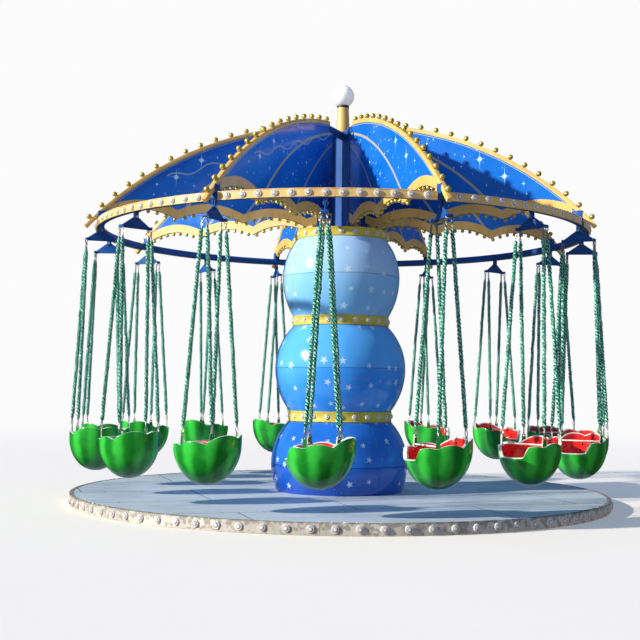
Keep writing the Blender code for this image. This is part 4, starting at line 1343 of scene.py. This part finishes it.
def seat_shell():
    """The shell from a grid wrapped to the melon's shape, its thickness added inwards."""
    bm = bmesh.new()
    uv = bm.loops.layers.uv.new("melon")
    grid = bmesh.ops.create_grid(bm, x_segments=RIND_COLUMNS, y_segments=RIND_ROWS, size=0.5)["verts"]
    for face in bm.faces:
        for loop in face.loops:
            loop[uv].uv = (loop.vert.co.x + 0.5, loop.vert.co.y + 0.5)
    for corner in grid:
        degrees = 360 * (corner.co.x + 0.5)
        height = rim_height(degrees) * (corner.co.y + 0.5) ** RIND_ROW_POWER
        corner.co = bowl_point(degrees, profile_radius(degrees, height), height)
    bmesh.ops.remove_doubles(bm, verts=bm.verts, dist=1e-4)
    bmesh.ops.recalc_face_normals(bm, faces=bm.faces)
    if sum(f.normal.z * f.calc_area() for f in bm.faces) > 0:
        bmesh.ops.reverse_faces(bm, faces=bm.faces[:])
    mesh = bpy.data.meshes.new("shell")
    bm.to_mesh(mesh)
    bm.free()
    for material in (rind_paint, edge_paint, flesh_paint):
        mesh.materials.append(material)
    shell = bpy.data.objects.new("shell", mesh)
    scene.collection.objects.link(shell)
    wall = shell.modifiers.new("wall", "SOLIDIFY")
    wall.thickness = SEAT_WALL
    wall.offset = -1.0
    wall.use_even_offset = True
    wall.material_offset = 2
    wall.material_offset_rim = 1
    round_over = shell.modifiers.new("round_over", "BEVEL")
    round_over.width = EDGE_ROUNDING
    round_over.segments = 2
    round_over.limit_method = "ANGLE"
    round_over.angle_limit = math.radians(50)
    finished = bpy.data.meshes.new_from_object(shell.evaluated_get(bpy.context.evaluated_depsgraph_get()))
    bpy.data.objects.remove(shell, do_unlink=True)
    return finished


def seat_tab(height):
    """A tab that tapers up to a round eye, across its own Y. Its faces are rind and its edges cream."""
    bm = bmesh.new()
    rings = []
    outline = []
    angles = [math.tau * (i + 0.5) / TAB_SIDES for i in range(TAB_SIDES)]
    for a in angles:
        up = math.cos(a)
        half_width = TAB_TOP_WIDTH / 2 if up > 0 else TAB_FOOT_WIDTH / 2
        crown = height - TAB_CROWN + TAB_CROWN * min(1.0, 1.4 * up)
        rise = crown if up > 0 else -TAB_ROOT + 0.002 * (1 + up)
        outline.append((max(-1.0, min(1.0, 1.5 * math.sin(a))) * half_width, rise))
    eye = [(TAB_EYE * math.sin(a), height - TAB_EYE_DROP + TAB_EYE * math.cos(a)) for a in angles]
    for points in (outline, eye):
        corners = [bm.verts.new((across, -TAB_THICKNESS / 2, up)) for across, up in points]
        rings += [bm.edges.new((corners[i - 1], corners[i])) for i in range(TAB_SIDES)]
    front = bmesh.ops.bridge_loops(bm, edges=rings)["faces"]
    grown = bmesh.ops.extrude_face_region(bm, geom=front)["geom"]
    shift_new(bm, grown, (0, TAB_THICKNESS, 0))
    bmesh.ops.recalc_face_normals(bm, faces=bm.faces)
    for face in bm.faces:
        face.material_index = 0 if abs(face.normal.y) > 0.9 else 1
    return as_mesh(bm, "seat_tab")


def safety_bar():
    """A straight round bar between the two front tabs."""
    (left, _), (right, _) = lug_places()[:2]
    centre = (left + right) / 2 + Vector((0, 0, BAR_RISE))
    bm = bmesh.new()
    add_rod(bm, 12, BAR_RADIUS, (right - left).length,
            Matrix.Translation(centre) @ Matrix.Rotation(math.pi / 2, 4, "X"))
    for face in bm.faces:
        face.material_index = 1
    return as_mesh(bm, "safety_bar")


def seat():
    """The shell with its four tabs and its bar."""
    bm = bmesh.new()
    bm.from_mesh(seat_shell())
    bm.from_mesh(safety_bar())
    for point, turn in lug_places():
        tab = seat_tab(lug_top - point.z - 0.004)
        outwards = Vector((point.x + SEAT_FORWARD, point.y))
        facing = Matrix.Rotation(math.atan2(outwards.x, -outwards.y), 4, "Z")
        add_copy(bm, tab, Matrix.Translation(point) @ facing)
    return as_mesh(bm, "seat")


rind_paint = melon_rind()
edge_paint = melon_edge()
flesh_paint = melon_flesh()
sleeve_cloth = sleeve_fabric()
plate = hanger_plate()
hardware = rope_hardware()
sleeve_sets = [sleeves(seed) for seed in range(SLEEVE_SETS)]
seat_mesh = seat()
for joint in frame["joints"][1:]:
    body = joint["child"]
    number = int(body[-2:])
    turn = Matrix.Rotation(math.tau * (number - 1) / SWINGS, 4, "Z")
    place = [Matrix.Translation(joint["pos_m"]) @ turn]
    piece(body + "_plate", spread(plate, place), body, "navy_steel", navy_paint,
          stands_for=("hanger_%02d" % number,))
    bm = spread(sleeve_sets[number % SLEEVE_SETS], place)
    piece(body + "_sleeves", bm, body, "rope_sleeve", sleeve_cloth, smooth=60.0)
    piece(body + "_links", spread(hardware, place), body, "zinc_steel", zinc, smooth=60.0)
    piece(body + "_seat", spread(seat_mesh, place), body, "melon_shell", rind_paint, edge_paint, flesh_paint,
          stands_for=("seat_%02d" % number,))
